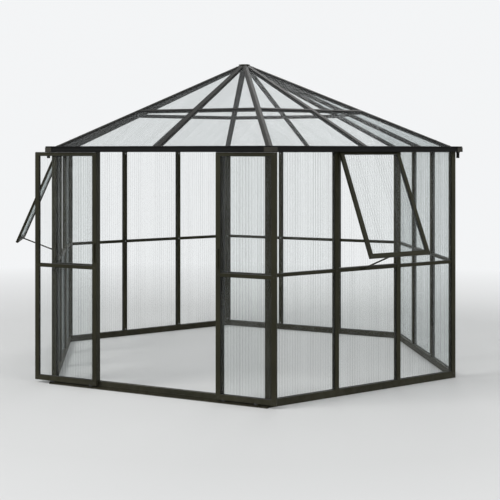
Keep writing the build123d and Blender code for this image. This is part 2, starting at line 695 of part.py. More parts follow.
def write_front():
    """The jambs, side rails and side sheets beside the doorway, and the track."""
    far = HALF - CORNER_ARM
    left, right = OPENING_LEFT - JAMB_WIDTH, OPENING_RIGHT + JAMB_WIDTH
    spans = ((-far, left), (right, far))
    left_jamb = post(left, OPENING_LEFT, BASE_HEIGHT, EAVE_Z, (left,))
    right_jamb = post(OPENING_RIGHT, right, BASE_HEIGHT, EAVE_Z, (right,))
    frames = []
    for jamb, span in zip((left_jamb, right_jamb), spans):
        frames.append(place(jamb + mid_rail(*span), 0))
    one_node("door_side_frames", frames)
    sheets = []
    for x0, x1 in spans:
        for z0, z1 in (
            (BASE_HEIGHT - GROOVE_DEPTH, MID_RAIL_Z + LEAF_GROOVE),
            (MID_RAIL_Z + MID_RAIL_HEIGHT - LEAF_GROOVE, EAVE_Z + GROOVE_DEPTH),
        ):
            sheet = block(
                x0 - GROOVE_DEPTH, x1 + GROOVE_DEPTH, SHEET_Y, SHEET_Y + SHEET, z0, z1
            )
            sheets.append(place(sheet, 0))
    one_node("door_side_sheets", sheets)
    one_node("door_track", [place(track(), 0)])


def write_corners():
    """Corner posts, and the gutter's fascias, corner covers and spouts."""
    upright_post, cover = corner_post(), gutter_corner()
    front = mitred(fascia(), MITRE_GAP / 2)
    one_node("gutter_fascias", [place(front, side) for side in range(6)])
    one_node("corner_posts", [Rot(0, 0, 60 * k) * upright_post for k in range(6)])
    one_node("gutter_corners", [Rot(0, 0, 60 * k) * cover for k in range(6)])
    one_node("gutter_spouts", [place(spout(x), side) for side, x in OUTLETS.items()])


def write_roof():
    """Hips, rafters, purlins, sheets, hub and cap."""
    ridge, middle = hip(), place(rafter(), 0)
    ring = [place(bar, 0) for bar in purlins()]
    upper, lower = roof_sheets()
    one_node("roof_hips", [Rot(0, 0, 60 * k) * ridge for k in range(6)])
    one_node("roof_rafters", [Rot(0, 0, 60 * k) * middle for k in range(6)])
    one_node("roof_purlins", [Rot(0, 0, 60 * k) * bar for k in range(6) for bar in ring])
    one_node("roof_sheets_upper", [place(s, k) for k in range(6) for s in upper])
    one_node("roof_sheets_lower", [place(s, k) for k in range(6) for s in lower])
    one_node("apex_hub", [hub()])
    one_node("apex_cap", [cap()])


def write_doors():
    """The two leaves, each with its frame, sheets and running gear."""
    left_pull = LEAF_LEFT_OPEN_X + LEAF_LEFT_WIDTH - PULL_INSET
    right_pull = LEAF_RIGHT_OPEN_X + PULL_INSET
    leaves = (
        ("left", LEAF_LEFT_OPEN_X, LEAF_LEFT_WIDTH, LEFT_WHEELS, left_pull),
        ("right", LEAF_RIGHT_OPEN_X, LEAF_RIGHT_WIDTH, RIGHT_WHEELS, right_pull),
    )
    for name, x0, width, wheels, pull_x in leaves:
        frame, sheets, running = leaf(x0, width, wheels)
        one_node(f"door_{name}_frame", [place(frame, 0)])
        one_node(f"door_{name}_sheets", [place(s, 0) for s in sheets])
        one_node(f"door_{name}_rollers", [place(s, 0) for s in running])
        one_node(f"door_{name}_pull", [place(pull(pull_x), 0)])


def write_windows():
    """Surround, sash, sheet, hinge and stay of the two windows."""
    sash, sheet = window()
    for name, shape in (
        ("window_surrounds", window_frame()), ("window_sashes", sash), ("window_sheets", sheet),
        ("window_hinges", hinge()), ("window_stays", stay(sash)),
    ):
        one_node(name, [place(shape, side) for side in WINDOW_SIDES])


os.makedirs("parts", exist_ok=True)
write_walls()
write_front()
write_corners()
write_roof()
write_doors()
write_windows()
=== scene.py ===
"""Looks of a hexagonal garden greenhouse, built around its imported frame.

The frame holds every bar, sheet and moving leaf. This script gives them their finishes and adds what is
finer: the ribs inside the twin-wall sheets, glazing gaskets, brush seals, screws and the studio around it.
The frame's axes are in metres, with +Z up and the doorway towards -Y. Finishes, ribs and the studio keep
their sizes in metres too. The other finer pieces are drawn in millimetres, in a seat of their own such as
one side of the hexagon, and then carried to the frame.
"""

import json
import logging
import math
from dataclasses import dataclass
from enum import Enum

import bpy
from mathutils import Matrix, Vector

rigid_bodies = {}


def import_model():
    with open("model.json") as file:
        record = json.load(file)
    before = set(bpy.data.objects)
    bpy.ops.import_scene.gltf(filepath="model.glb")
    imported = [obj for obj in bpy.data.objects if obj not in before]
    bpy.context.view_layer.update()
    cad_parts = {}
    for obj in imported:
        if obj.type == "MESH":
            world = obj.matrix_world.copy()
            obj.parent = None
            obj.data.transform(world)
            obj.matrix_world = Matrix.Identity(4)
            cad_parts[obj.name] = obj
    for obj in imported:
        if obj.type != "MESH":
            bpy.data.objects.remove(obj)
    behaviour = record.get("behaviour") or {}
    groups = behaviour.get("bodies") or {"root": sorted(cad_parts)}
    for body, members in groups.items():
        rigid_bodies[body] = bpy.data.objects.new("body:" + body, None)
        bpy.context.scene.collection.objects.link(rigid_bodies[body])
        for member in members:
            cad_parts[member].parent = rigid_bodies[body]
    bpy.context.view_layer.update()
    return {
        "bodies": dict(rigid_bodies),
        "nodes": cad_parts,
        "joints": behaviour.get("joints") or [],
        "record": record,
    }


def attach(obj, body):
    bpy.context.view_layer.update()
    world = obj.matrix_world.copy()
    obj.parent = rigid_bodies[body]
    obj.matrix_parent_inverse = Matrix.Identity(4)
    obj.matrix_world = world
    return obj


Span = tuple[float, float]
Triple = tuple[float, float, float]
Colour = tuple[float, float, float, float]
Node = bpy.types.Node
Socket = bpy.types.NodeSocket
Material = bpy.types.Material

LOG = logging.getLogger("greenhouse")
MM = 0.001
SIDES = 6
SIDE_DEGREES = 360 / SIDES
HALF_SIDE = math.radians(SIDE_DEGREES / 2)
FRONT = 0  # sides are numbered anticlockwise as seen from above
WINDOW_SIDES = (1, 5)
OUTLETS = ((2, -990.0), (5, 990.0))  # the side of each spout, and its place along it in millimetres
RIGHT = Vector((1.0, 0.0, 0.0))
INWARD = Vector((0.0, 1.0, 0.0))
OUTWARD = -INWARD
UP = Vector((0.0, 0.0, 1.0))
WAYS = (-1.0, 1.0)
NOISE_BAND = (0.35, 0.65)  # what most of a noise texture's values lie between
SAME_CORNER = 6  # decimals of a metre to which two corners have to agree
IN_LINE = 1e-6  # twice the area, in square metres, under which three corners make no plane


class Body(Enum):
    """The bodies of the frame that pieces ride on."""

    HOUSE = "greenhouse"
    LEFT_DOOR = "left_door"
    RIGHT_DOOR = "right_door"


class Slot(Enum):
    """The material slots of the record."""

    POWDER_COAT = "powder_coat"
    POLYCARBONATE = "polycarbonate"
    NYLON = "nylon"


def around(middle: float, reach: float) -> Span:
    """The span that reaches as far to each side of a middle."""
    return middle - reach, middle + reach


def spaced(count: int, pitch: float) -> list[float]:
    """Places a pitch apart, centred on zero."""
    return [(k - (count - 1) / 2) * pitch for k in range(count)]


def colour(red: float, green: float, blue: float) -> Colour:
    """A linear colour with full opacity."""
    return red, green, blue, 1.0


def scaled(tone: Triple, share: float) -> Colour:
    """A tone made lighter or darker by a share, as a colour."""
    return colour(*(share * c for c in tone))


class NodeTree:
    """A short way to add and join the shader nodes of a material or a world."""

    MIX_INPUTS = (0, 6, 7)  # a Mix node's share and two colours
    MIX_RESULT = 2

    def __init__(self, owner: Material | bpy.types.World, output: str = "OutputMaterial") -> None:
        """Empties the owner's node tree and gives it an output.

        Args:
            owner: The material or world.
            output: The output node's type without its ShaderNode prefix.
        """
        owner.use_nodes = True
        self.owner = owner
        self.tree = owner.node_tree
        self.tree.nodes.clear()
        self.output = self.add(output)

    def add(self, kind: str, **settings: object) -> Node:
        """Adds a node.

        Args:
            kind: The node type without its ShaderNode prefix.
            settings: Properties of the node, by name.

        Returns:
            The new node.
        """
        node = self.tree.nodes.new("ShaderNode" + kind)
        for name, value in settings.items():
            setattr(node, name, value)
        return node

    def join(self, source: Socket, target: Socket) -> None:
        """Links an output socket to an input socket."""
        self.tree.links.new(source, target)

    def give(self, target: Socket, given: object) -> None:
        """Feeds an input socket.

        Args:
            target: The input.
            given: A socket to link it to, or a plain value to set it to.
        """
        if isinstance(given, Socket):
            self.join(given, target)
        else:
            target.default_value = given

    def place(self) -> Socket:
        """The place on a piece, in metres."""
        return self.add("TexCoord").outputs["Object"]

    def math(self, operation: str, *terms: object, clamp: bool = False) -> Socket:
        """Adds a sum of one, two or three terms.

        Args:
            operation: The Math node's operation, such as MULTIPLY.
            terms: Sockets or numbers.
            clamp: Whether the result is held between 0 and 1.

        Returns:
            The result's socket.
        """
        node = self.add("Math", operation=operation, use_clamp=clamp)
        for target, term in zip(node.inputs, terms):
            self.give(target, term)
        return node.outputs[0]

    def vector_math(self, operation: str, *terms: object) -> Node:
        """Adds a sum of vectors.

        Args:
            operation: The Vector Math node's operation, such as DOT_PRODUCT.
            terms: Sockets or vectors.

        Returns:
            The node, since its result is a vector or a value.
        """
        node = self.add("VectorMath", operation=operation)
        for target, term in zip(node.inputs, terms):
            self.give(target, term)
        return node

    def noise(self, vector: Socket, size: float, detail: float = 2.0) -> Socket:
        """Adds a noise texture.

        Args:
            vector: The coordinates.
            size: The width of one blotch in metres.
            detail: How many finer layers it has.

        Returns:
            The noise value's socket, mostly within NOISE_BAND.
        """
        node = self.add("TexNoise")
        self.join(vector, node.inputs["Vector"])
        node.inputs["Scale"].default_value = 1.0 / size
        node.inputs["Detail"].default_value = detail
        return node.outputs["Fac"]

    def spread(self, value: Socket, source: Span, target: Span = (0.0, 1.0)) -> Socket:
        """Maps a value from one range to another, held inside it.

        Args:
            value: The socket to map.
            source: Start and end of its range.
            target: What they become.

        Returns:
            The mapped value's socket.
        """
        node = self.add("MapRange")
        self.join(value, node.inputs["Value"])
        for name, number in zip(("From Min", "From Max", "To Min", "To Max"), source + target):
            node.inputs[name].default_value = number
        return node.outputs["Result"]

    def blend(self, share: object, first: object, second: object) -> Socket:
        """Mixes two colours.

        Args:
            share: How much of the second one shows.
            first: A socket or a colour.
            second: A socket or a colour.

        Returns:
            The mixed colour's socket.
        """
        node = self.add("Mix", data_type="RGBA")
        for index, given in zip(self.MIX_INPUTS, (share, first, second)):
            self.give(node.inputs[index], given)
        return node.outputs[self.MIX_RESULT]

    def height(self, vector: Socket) -> Socket:
        """Reads how far up a vector goes.

        Args:
            vector: The vector's socket.

        Returns:
            The socket of its Z.
        """
        axes = self.add("SeparateXYZ")
        self.join(vector, axes.inputs[0])
        return axes.outputs["Z"]

    def fed(self, kind: str, inputs: dict[str, object]) -> Node:
        """Adds a node and feeds its inputs.

        Args:
            kind: Its type without the ShaderNode prefix.
            inputs: What its named sockets are linked or set to.

        Returns:
            The new node.
        """
        node = self.add(kind)
        for name, given in inputs.items():
            self.give(node.inputs[name], given)
        return node

    def bump(self, shader: Node, relief: Socket, strength: float, depth: float) -> None:
        """Gives a shader a fine relief.

        Args:
            shader: The shader's node.
            relief: The height of the relief, from 0 to 1.
            strength: How much of it shows.
            depth: Its depth in metres.
        """
        node = self.fed("Bump", {"Strength": strength, "Distance": depth, "Height": relief})
        self.join(node.outputs["Normal"], shader.inputs["Normal"])

    def mix(self, share: object, first: Node, second: Node) -> Node:
        """Mixes two shaders.

        Args:
            share: How much of the second one shows.
            first: A shader's node.
            second: Another shader's node.

        Returns:
            The mixed shader's node.
        """
        node = self.add("MixShader")
        for target, given in zip(node.inputs, (share, first.outputs[0], second.outputs[0])):
            self.give(target, given)
        return node

    def finish(self, shader: Node) -> Material | bpy.types.World:
        """Ends the tree with a shader and returns the material or world."""
        self.join(shader.outputs[0], self.output.inputs["Surface"])
        return self.owner


@dataclass(frozen=True)
class PowderCoat:
    """Matt charcoal powder coat on aluminium, with a fine grain, dust on ledges and splashes low down.

    A gain is how much lighter than the tone its patches or flecks are.
    """

    name: str = "powder_coat"
    tone: Triple = (0.0166, 0.0158, 0.0082)
    dust: Triple = (0.16, 0.15, 0.12)
    roughness: float = 0.48
    roughness_reach: float = 0.06
    shine: float = 0.12
    patch_size: float = 0.35
    patch_gain: float = 1.45
    fleck_size: float = 9 * MM
    fleck_band: Span = (0.62, 0.72)
    fleck_share: float = 0.35
    fleck_gain: float = 2.2
    grain_size: float = 1.4 * MM
    grain_depth: float = 0.2 * MM
    grain_strength: float = 0.35
    ledge: float = 0.12
    ledge_band: Span = (0.75, 0.98)
    splash: float = 0.14
    splash_height: float = 0.16
    film_size: float = 45 * MM
    film_spread: Span = (0.35, 1.0)

    def build(self) -> Material:
        """Makes the material.

        Returns:
            The material.
        """
        t = NodeTree(bpy.data.materials.new(self.name))
        place = t.place()
        patch = t.spread(t.noise(place, self.patch_size), NOISE_BAND)
        fleck = t.noise(place, self.fleck_size)
        speck = t.spread(fleck, self.fleck_band, (0.0, self.fleck_share))
        tone = t.blend(patch, colour(*self.tone), scaled(self.tone, self.patch_gain))
        tone = t.blend(speck, tone, scaled(self.tone, self.fleck_gain))
        tone = t.blend(self.film(t, place), tone, colour(*self.dust))
        rough = t.spread(fleck, NOISE_BAND, around(self.roughness, self.roughness_reach))
        inputs = {"Base Color": tone, "Specular IOR Level": self.shine, "Roughness": rough}
        shader = t.fed("BsdfPrincipled", inputs)
        t.bump(shader, t.noise(place, self.grain_size, detail=1.0), self.grain_strength, self.grain_depth)
        return t.finish(shader)

    def film(self, t: NodeTree, place: Socket) -> Socket:
        """The film of dust, on what faces up and on what is near the ground.

        Args:
            t: The material's tree.
            place: The place on the piece.

        Returns:
            The socket of how much of the coat it covers.
        """
        facing = t.height(t.add("NewGeometry").outputs["True Normal"])
        ledge = t.spread(facing, self.ledge_band, (0.0, self.ledge))
        splash = t.spread(t.height(place), (0.0, self.splash_height), (self.splash, 0.0))
        cloud = t.spread(t.noise(place, self.film_size, detail=4.0), NOISE_BAND, self.film_spread)
        return t.math("MULTIPLY", t.math("ADD", ledge, splash), cloud, clamp=True)


class SheetPart(Enum):
    """The parts of a twin-wall sheet."""

    SKIN = "skin"
    RIB = "rib"


@dataclass(frozen=True)
class TwinWall:
    """Clear twin-wall polycarbonate, as its skins or as the ribs between them.

    Streaks run along the ribs, whichever way a sheet faces. Cover is the share that a haze hides, streak
    what the streaks add to it, and gloss what its rim adds where it is seen edge on.
    """

    name: str
    part: SheetPart
    tint: Triple
    body: Triple
    cover: float
    streak: float
    gloss: float
    roughness: float = 0.10
    refraction: float = 1.58
    rim: float = 0.12
    line: float = 26.0 * MM
    line_band: Span = (-0.5, 1.0)
    line_share: float = 0.6
    depth: float = 0.05
    stretch: float = 0.02
    patch_lines: int = 4
    patch_band: Span = (0.38, 0.6)
    patch_spread: Span = (0.25, 1.0)
    fine_size: float = 9 * MM
    fine_band: Span = (0.4, 0.7)
    fine_share: float = 0.4
    haze_size: float = 0.5
    haze_spread: Span = (0.8, 1.2)

    def build(self) -> Material:
        """Makes the material.

        Returns:
            A material with a tinted clear part, and a share of it that reflects and scatters light.
        """
        t = NodeTree(bpy.data.materials.new(self.name))
        place = t.place()
        across = t.vector_math("DOT_PRODUCT", place, self.rib_spacing(t)).outputs["Value"]
        along = t.math("MULTIPLY", t.height(place), self.stretch)
        lines = t.fed("CombineXYZ", {"X": across, "Y": along}).outputs[0]
        wave = t.math("SINE", t.math("MULTIPLY", across, 2 * math.pi / self.line))
        patch = t.spread(t.noise(lines, self.patch_lines * self.line), self.patch_band, self.patch_spread)
        shade = t.math("MULTIPLY", t.spread(wave, self.line_band), patch)
        tint = t.blend(shade, colour(*self.tint), scaled(self.tint, 1.0 - self.depth))
        clear = t.fed("BsdfTransparent", {"Color": tint})
        inputs = {"Base Color": colour(*self.body), "Roughness": self.roughness, "IOR": self.refraction}
        skin = t.fed("BsdfPrincipled", inputs)
        return t.finish(t.mix(self.covered(t, place, lines, shade), clear, skin))

    def covered(self, t: NodeTree, place: Socket, lines: Socket, shade: Socket) -> Socket:
        """How much of the sheet isn't clear: a haze, the streaks and a rim where it is seen edge on.

        Args:
            t: The material's tree.
            place: The place on the piece.
            lines: The same place, drawn out along the ribs.
            shade: The even streaks.

        Returns:
            The share's socket.
        """
        haze = t.spread(t.noise(place, self.haze_size), NOISE_BAND, self.haze_spread)
        even = t.math("MULTIPLY", shade, self.line_share * self.streak)
        most = self.fine_share * self.streak
        fine = t.spread(t.noise(lines, self.fine_size, detail=0.0), self.fine_band, (0.0, most))
        edge = t.fed("LayerWeight", {"Blend": self.rim}).outputs["Fresnel"]
        streaks = t.math("ADD", t.math("ADD", even, fine), t.math("MULTIPLY", edge, self.gloss))
        return t.math("ADD", t.math("MULTIPLY", haze, self.cover), streaks, clamp=True)

    def rib_spacing(self, t: NodeTree) -> Socket:
        """The level direction from rib to rib: along a skin, and square to the side of a rib.

        Args:
            t: The material's tree.

        Returns:
            The direction's socket.
        """
        normal = t.add("NewGeometry").outputs["True Normal"]
        if self.part is SheetPart.RIB:
            return normal
        level = t.vector_math("CROSS_PRODUCT", normal, tuple(UP))
        return t.vector_math("NORMALIZE", level.outputs["Vector"]).outputs["Vector"]


@dataclass(frozen=True)
class Moulding:
    """A moulded or rubber part of one tone with a soft grain: gaskets, lines at joints and nylon wheels."""

    name: str
    tone: Triple
    roughness: float
    grain_size: float
    grain_depth: float = 0.15 * MM
    grain_strength: float = 0.5
    fleck_size: float = 12 * MM
    darkest: float = 0.75
    lightest: float = 1.3
    roughness_reach: float = 0.08

    def build(self) -> Material:
        """Makes the material.

        Returns:
            The material.
        """
        t = NodeTree(bpy.data.materials.new(self.name))
        place = t.place()
        fleck = t.noise(place, self.fleck_size)
        tones = scaled(self.tone, self.darkest), scaled(self.tone, self.lightest)
        rough = t.spread(fleck, NOISE_BAND, around(self.roughness, self.roughness_reach))
        inputs = {"Base Color": t.blend(t.spread(fleck, NOISE_BAND), *tones), "Roughness": rough}
        shader = t.fed("BsdfPrincipled", inputs)
        t.bump(shader, t.noise(place, self.grain_size, detail=1.0), self.grain_strength, self.grain_depth)
        return t.finish(shader)


@dataclass(frozen=True)
class Bristle:
    """The nylon bristles of a brush seal, each a little lighter or darker than the next."""

    name: str = "brush_bristle"
    tone: Triple = (0.022, 0.022, 0.023)
    strand: float = 0.6 * MM
    darkest: float = 0.4
    lightest: float = 1.8
    roughness: float = 0.85
    relief: float = 0.4 * MM
    strength: float = 0.8

    def build(self) -> Material:
        """Makes the material.

        Returns:
            The material.
        """
        t = NodeTree(bpy.data.materials.new(self.name))
        strand = t.noise(t.place(), self.strand, detail=0.0)
        tones = scaled(self.tone, self.darkest), scaled(self.tone, self.lightest)
        inputs = {"Base Color": t.blend(t.spread(strand, NOISE_BAND), *tones), "Roughness": self.roughness}
        shader = t.fed("BsdfPrincipled", inputs)
        t.bump(shader, strand, self.strength, self.relief)
        return t.finish(shader)


@dataclass(frozen=True)
class Steel:
    """Plated or blackened steel of screws and bolts, and mill aluminium, a little spangled and scuffed."""

    name: str
    tone: Triple
    metallic: float = 0.9
    spangle_size: float = 2.5 * MM
    spangle_band: Span = (0.1, 0.8)
    darkest: float = 0.7
    lightest: float = 1.2
    scuff_size: float = 4 * MM
    roughness: Span = (0.28, 0.5)

    def build(self) -> Material:
        """Makes the material.

        Returns:
            The material.
        """
        t = NodeTree(bpy.data.materials.new(self.name))
        place = t.place()
        spangle = t.fed("TexVoronoi", {"Vector": place, "Scale": 1.0 / self.spangle_size})
        shade = t.spread(spangle.outputs["Distance"], self.spangle_band)
        tones = scaled(self.tone, self.darkest), scaled(self.tone, self.lightest)
        rough = t.spread(t.noise(place, self.scuff_size), NOISE_BAND, self.roughness)
        inputs = {"Base Color": t.blend(shade, *tones), "Metallic": self.metallic, "Roughness": rough}
        return t.finish(t.fed("BsdfPrincipled", inputs))


class Finishes:
    """Every finish of the greenhouse, made once."""

    SKIN_BODY = (0.82, 0.83, 0.82)
    RIB_BODY = (0.78, 0.80, 0.79)
    RIB_GLOSS = 0.03  # so low that ribs stay clear also where they are seen along their length

    def __init__(self) -> None:
        """Makes the materials."""
        self.coat = PowderCoat().build()
        # The gutter has the walls' powder coat; its darker tone here is painted shade, the shade that falls
        # on the eave band
        self.gutter = PowderCoat("gutter_painted_shade_coat", (0.0050, 0.0051, 0.0048), shine=0.08, ledge=0.05).build()
        self.roof_coat = PowderCoat("roof_coat", (0.0100, 0.0096, 0.0080), shine=0.10, ledge=0.02).build()
        self.cover_coat = PowderCoat("cover_coat", (0.028, 0.026, 0.021), roughness=0.4).build()
        self.wall_skin = self.skin("wall_sheet", (0.980, 0.984, 0.983), cover=0.003, streak=0.018, gloss=0.15)
        self.roof_skin = self.skin("roof_sheet", (0.975, 0.979, 0.979), cover=0.001, streak=0.004, gloss=0.06)
        self.rib = self.ribs("wall_rib", (0.945, 0.952, 0.952), cover=0.008, streak=0.05)
        self.roof_rib = self.ribs("roof_rib", (0.965, 0.970, 0.970), cover=0.002, streak=0.010)
        rubber, nylon = (0.014, 0.014, 0.014), (0.028, 0.028, 0.030)
        self.gasket = Moulding("gasket_rubber", rubber, roughness=0.62, grain_size=1.5 * MM).build()
        self.nylon = Moulding("black_nylon", nylon, roughness=0.42, grain_size=2.0 * MM).build()
        self.bristle = Bristle().build()
        self.zinc = Steel("zinc_plate", (0.17, 0.17, 0.175)).build()
        self.black_steel = Steel("black_steel", (0.045, 0.043, 0.040), metallic=0.6).build()
        self.mill = Steel("mill_aluminium", (0.50, 0.50, 0.49)).build()

    def skin(self, name: str, tint: Triple, cover: float, streak: float, gloss: float) -> Material:
        """The finish of a sheet's skins."""
        return TwinWall(name, SheetPart.SKIN, tint, self.SKIN_BODY, cover, streak, gloss).build()

    def ribs(self, name: str, tint: Triple, cover: float, streak: float) -> Material:
        """The finish of the ribs in a sheet."""
        return TwinWall(name, SheetPart.RIB, tint, self.RIB_BODY, cover, streak, self.RIB_GLOSS).build()


@dataclass(frozen=True)
class Plan:
    """The frame's sizes that the finer pieces are placed by, in millimetres. A side is measured from the
    middle of its outer face at the ground: x to the right as seen from outside, y inwards, z up."""

    side: float = 2040.0
    roof_rise: float = 820.0
    apex: float = 2832.0
    corner_arm_x: float = 975.0
    post_x: float = 340.0
    post_half: float = 20.0
    wall_depth: float = 40.0
    base_top: float = 58.0
    rail: Span = (1010.0, 1035.0)
    eave: float = 1988.0
    sheet: Span = (14.0, 20.0)
    jambs: Span = (-586.0, 606.0)
    hub_reach: float = 92.0
    purlin_ring: float = 1187.0
    hip_half: float = 25.0
    rafter_half: float = 20.0
    purlin_half: float = 13.0
    flange_top: float = 9.0
    sheet_half: float = 3.0
    sheet_overhang: float = 6.0
    leaf_y: Span = (-40.0, -14.0)
    leaf_z: Span = (26.0, 1983.0)
    trough: float = 2002.0

    @property
    def apothem(self) -> float:
        """Plan distance from the middle of the house to a side's outer face."""
        return self.side * math.cos(HALF_SIDE)

    @property
    def rise_per_plan(self) -> float:
        """How far a hip rises for each plan length along it."""
        return self.roof_rise / self.side

    @property
    def slope(self) -> float:
        """Angle of a roof face from level."""
        return math.atan(self.rise_per_plan / math.cos(HALF_SIDE))

    @property
    def hip_slope(self) -> float:
        """Angle of a hip from level."""
        return math.atan(self.rise_per_plan)

    @property
    def ridge_height(self) -> float:
        """Works out how high a hip's ridge stands.

        Returns:
            Its height, square to the hip, over the line where the sheets' middle planes meet.
        """
        steep, level = math.sin(self.slope) ** 2, math.cos(self.slope) ** 2
        between = steep * math.cos(math.radians(SIDE_DEGREES)) + level
        return self.flange_top / math.cos(math.acos(between) / 2)

    @property
    def purlin_line(self) -> float:
        """Distance down a roof face to the middle of its purlins."""
        return self.down_slope(self.purlin_ring * math.cos(HALF_SIDE))

    @property
    def sheet_end(self) -> float:
        """Distance down a roof face to the lower edge of its sheets."""
        return self.down_slope(self.apothem + self.sheet_overhang)

    def down_slope(self, plan: float) -> float:
        """Distance down a roof face for a plan distance from the middle of the house."""
        return plan / math.cos(self.slope)

    def hip_edge(self, s: float) -> float:
        """Where the edge of a hip's cap lies across a roof face, at a distance s down it."""
        return s * math.cos(self.slope) * math.tan(HALF_SIDE) - self.hip_half / math.cos(HALF_SIDE)


@dataclass(frozen=True)
class Sash:
    """The sizes of a window's sash and stay, in millimetres, in the coordinates of its side. The sash is
    measured as it stands when closed, and the angle in degrees is how far it is open."""

    hinge: Span = (-6.0, 1980.0)
    angle: float = 23.6
    half: float = 326.0
    stile: float = 35.0
    low: float = 1072.0
    sill: float = 1107.0
    head: float = 1964.0
    front: float = -24.0
    sheet: Span = (-16.0, -10.0)
    bay_half: float = 320.0
    stay_x: float = -65.0
    stay_pin: Span = (-4.0, 1022.5)

    @property
    def opening(self) -> Span:
        """The left and right edges of the pane's opening."""
        return around(0.0, self.half - self.stile)


@dataclass(frozen=True)
class Leaf:
    """The sizes of a door leaf in its open place, in millimetres, in the coordinates of the front side."""

    name: str
    body: Body
    left: float
    width: float
    wheels: Span
    pull: float
    stile: float = 40.0
    rows: tuple[Span, Span] = ((68.0, 1001.0), (1029.0, 1955.0))
    axle_z: float = 27.5

    @property
    def right(self) -> float:
        """The leaf's right edge."""
        return self.left + self.width

    @property
    def opening(self) -> Span:
        """The left and right edges of the sheets' openings."""
        return self.left + self.stile, self.right - self.stile

    def between(self, inset: float) -> Span:
        """The leaf's left and right edges, moved in by an inset."""
        return self.left + inset, self.right - inset


LEAVES = (
    Leaf("left", Body.LEFT_DOOR, left=-1166.0, width=620.0, wheels=(-988.0, -608.0), pull=-566.0),
    Leaf("right", Body.RIGHT_DOOR, left=566.0, width=520.0, wheels=(628.0, 908.0), pull=586.0),
)


def wall_seat(side: int, plan: Plan) -> Matrix:
    """Carries a side's own millimetres to the frame's metres.

    Args:
        side: The side's number, anticlockwise from the front.
        plan: The frame's sizes.

    Returns:
        The seat.
    """
    turned = Matrix.Rotation(math.radians(SIDE_DEGREES * side), 4, "Z")
    return turned @ Matrix.Translation((0.0, -plan.apothem * MM, 0.0)) @ Matrix.Scale(MM, 4)


def sash_seat(side: int, plan: Plan, sash: Sash) -> Matrix:
    """Carries a sash's millimetres to its open place.

    Args:
        side: The side's number.
        plan: The frame's sizes.
        sash: The sash's sizes, as it stands when closed.

    Returns:
        The seat.
    """
    y, z = sash.hinge
    swing = Matrix.Rotation(math.radians(-sash.angle), 4, "X")
    return wall_seat(side, plan) @ Matrix.Translation((0, y, z)) @ swing @ Matrix.Translation((0, -y, -z))


def roof_seat(side: int, plan: Plan) -> Matrix:
    """Carries a roof face's millimetres, with x along the eave, y up the slope from the apex and z square
    to the sheets from their middle plane, to the frame.

    Args:
        side: The number of the side below it.
        plan: The frame's sizes.

    Returns:
        The seat.
    """
    tilt = Matrix.Rotation(plan.slope, 4, "X")
    return wall_seat(side, plan) @ Matrix.Translation((0.0, plan.apothem, plan.apex)) @ tilt


def hip_seat(corner: int, plan: Plan) -> Matrix:
    """Carries a hip's millimetres, with x down the hip from the apex and z square to it, to the frame.

    Args:
        corner: The number of the side whose right end is under the hip.
        plan: The frame's sizes.

    Returns:
        The seat.
    """
    turned = Matrix.Rotation(math.radians(SIDE_DEGREES * (corner - 1)), 4, "Z")
    tilt = Matrix.Rotation(plan.hip_slope, 4, "Y")
    return turned @ Matrix.Translation((0.0, 0.0, plan.apex * MM)) @ tilt @ Matrix.Scale(MM, 4)


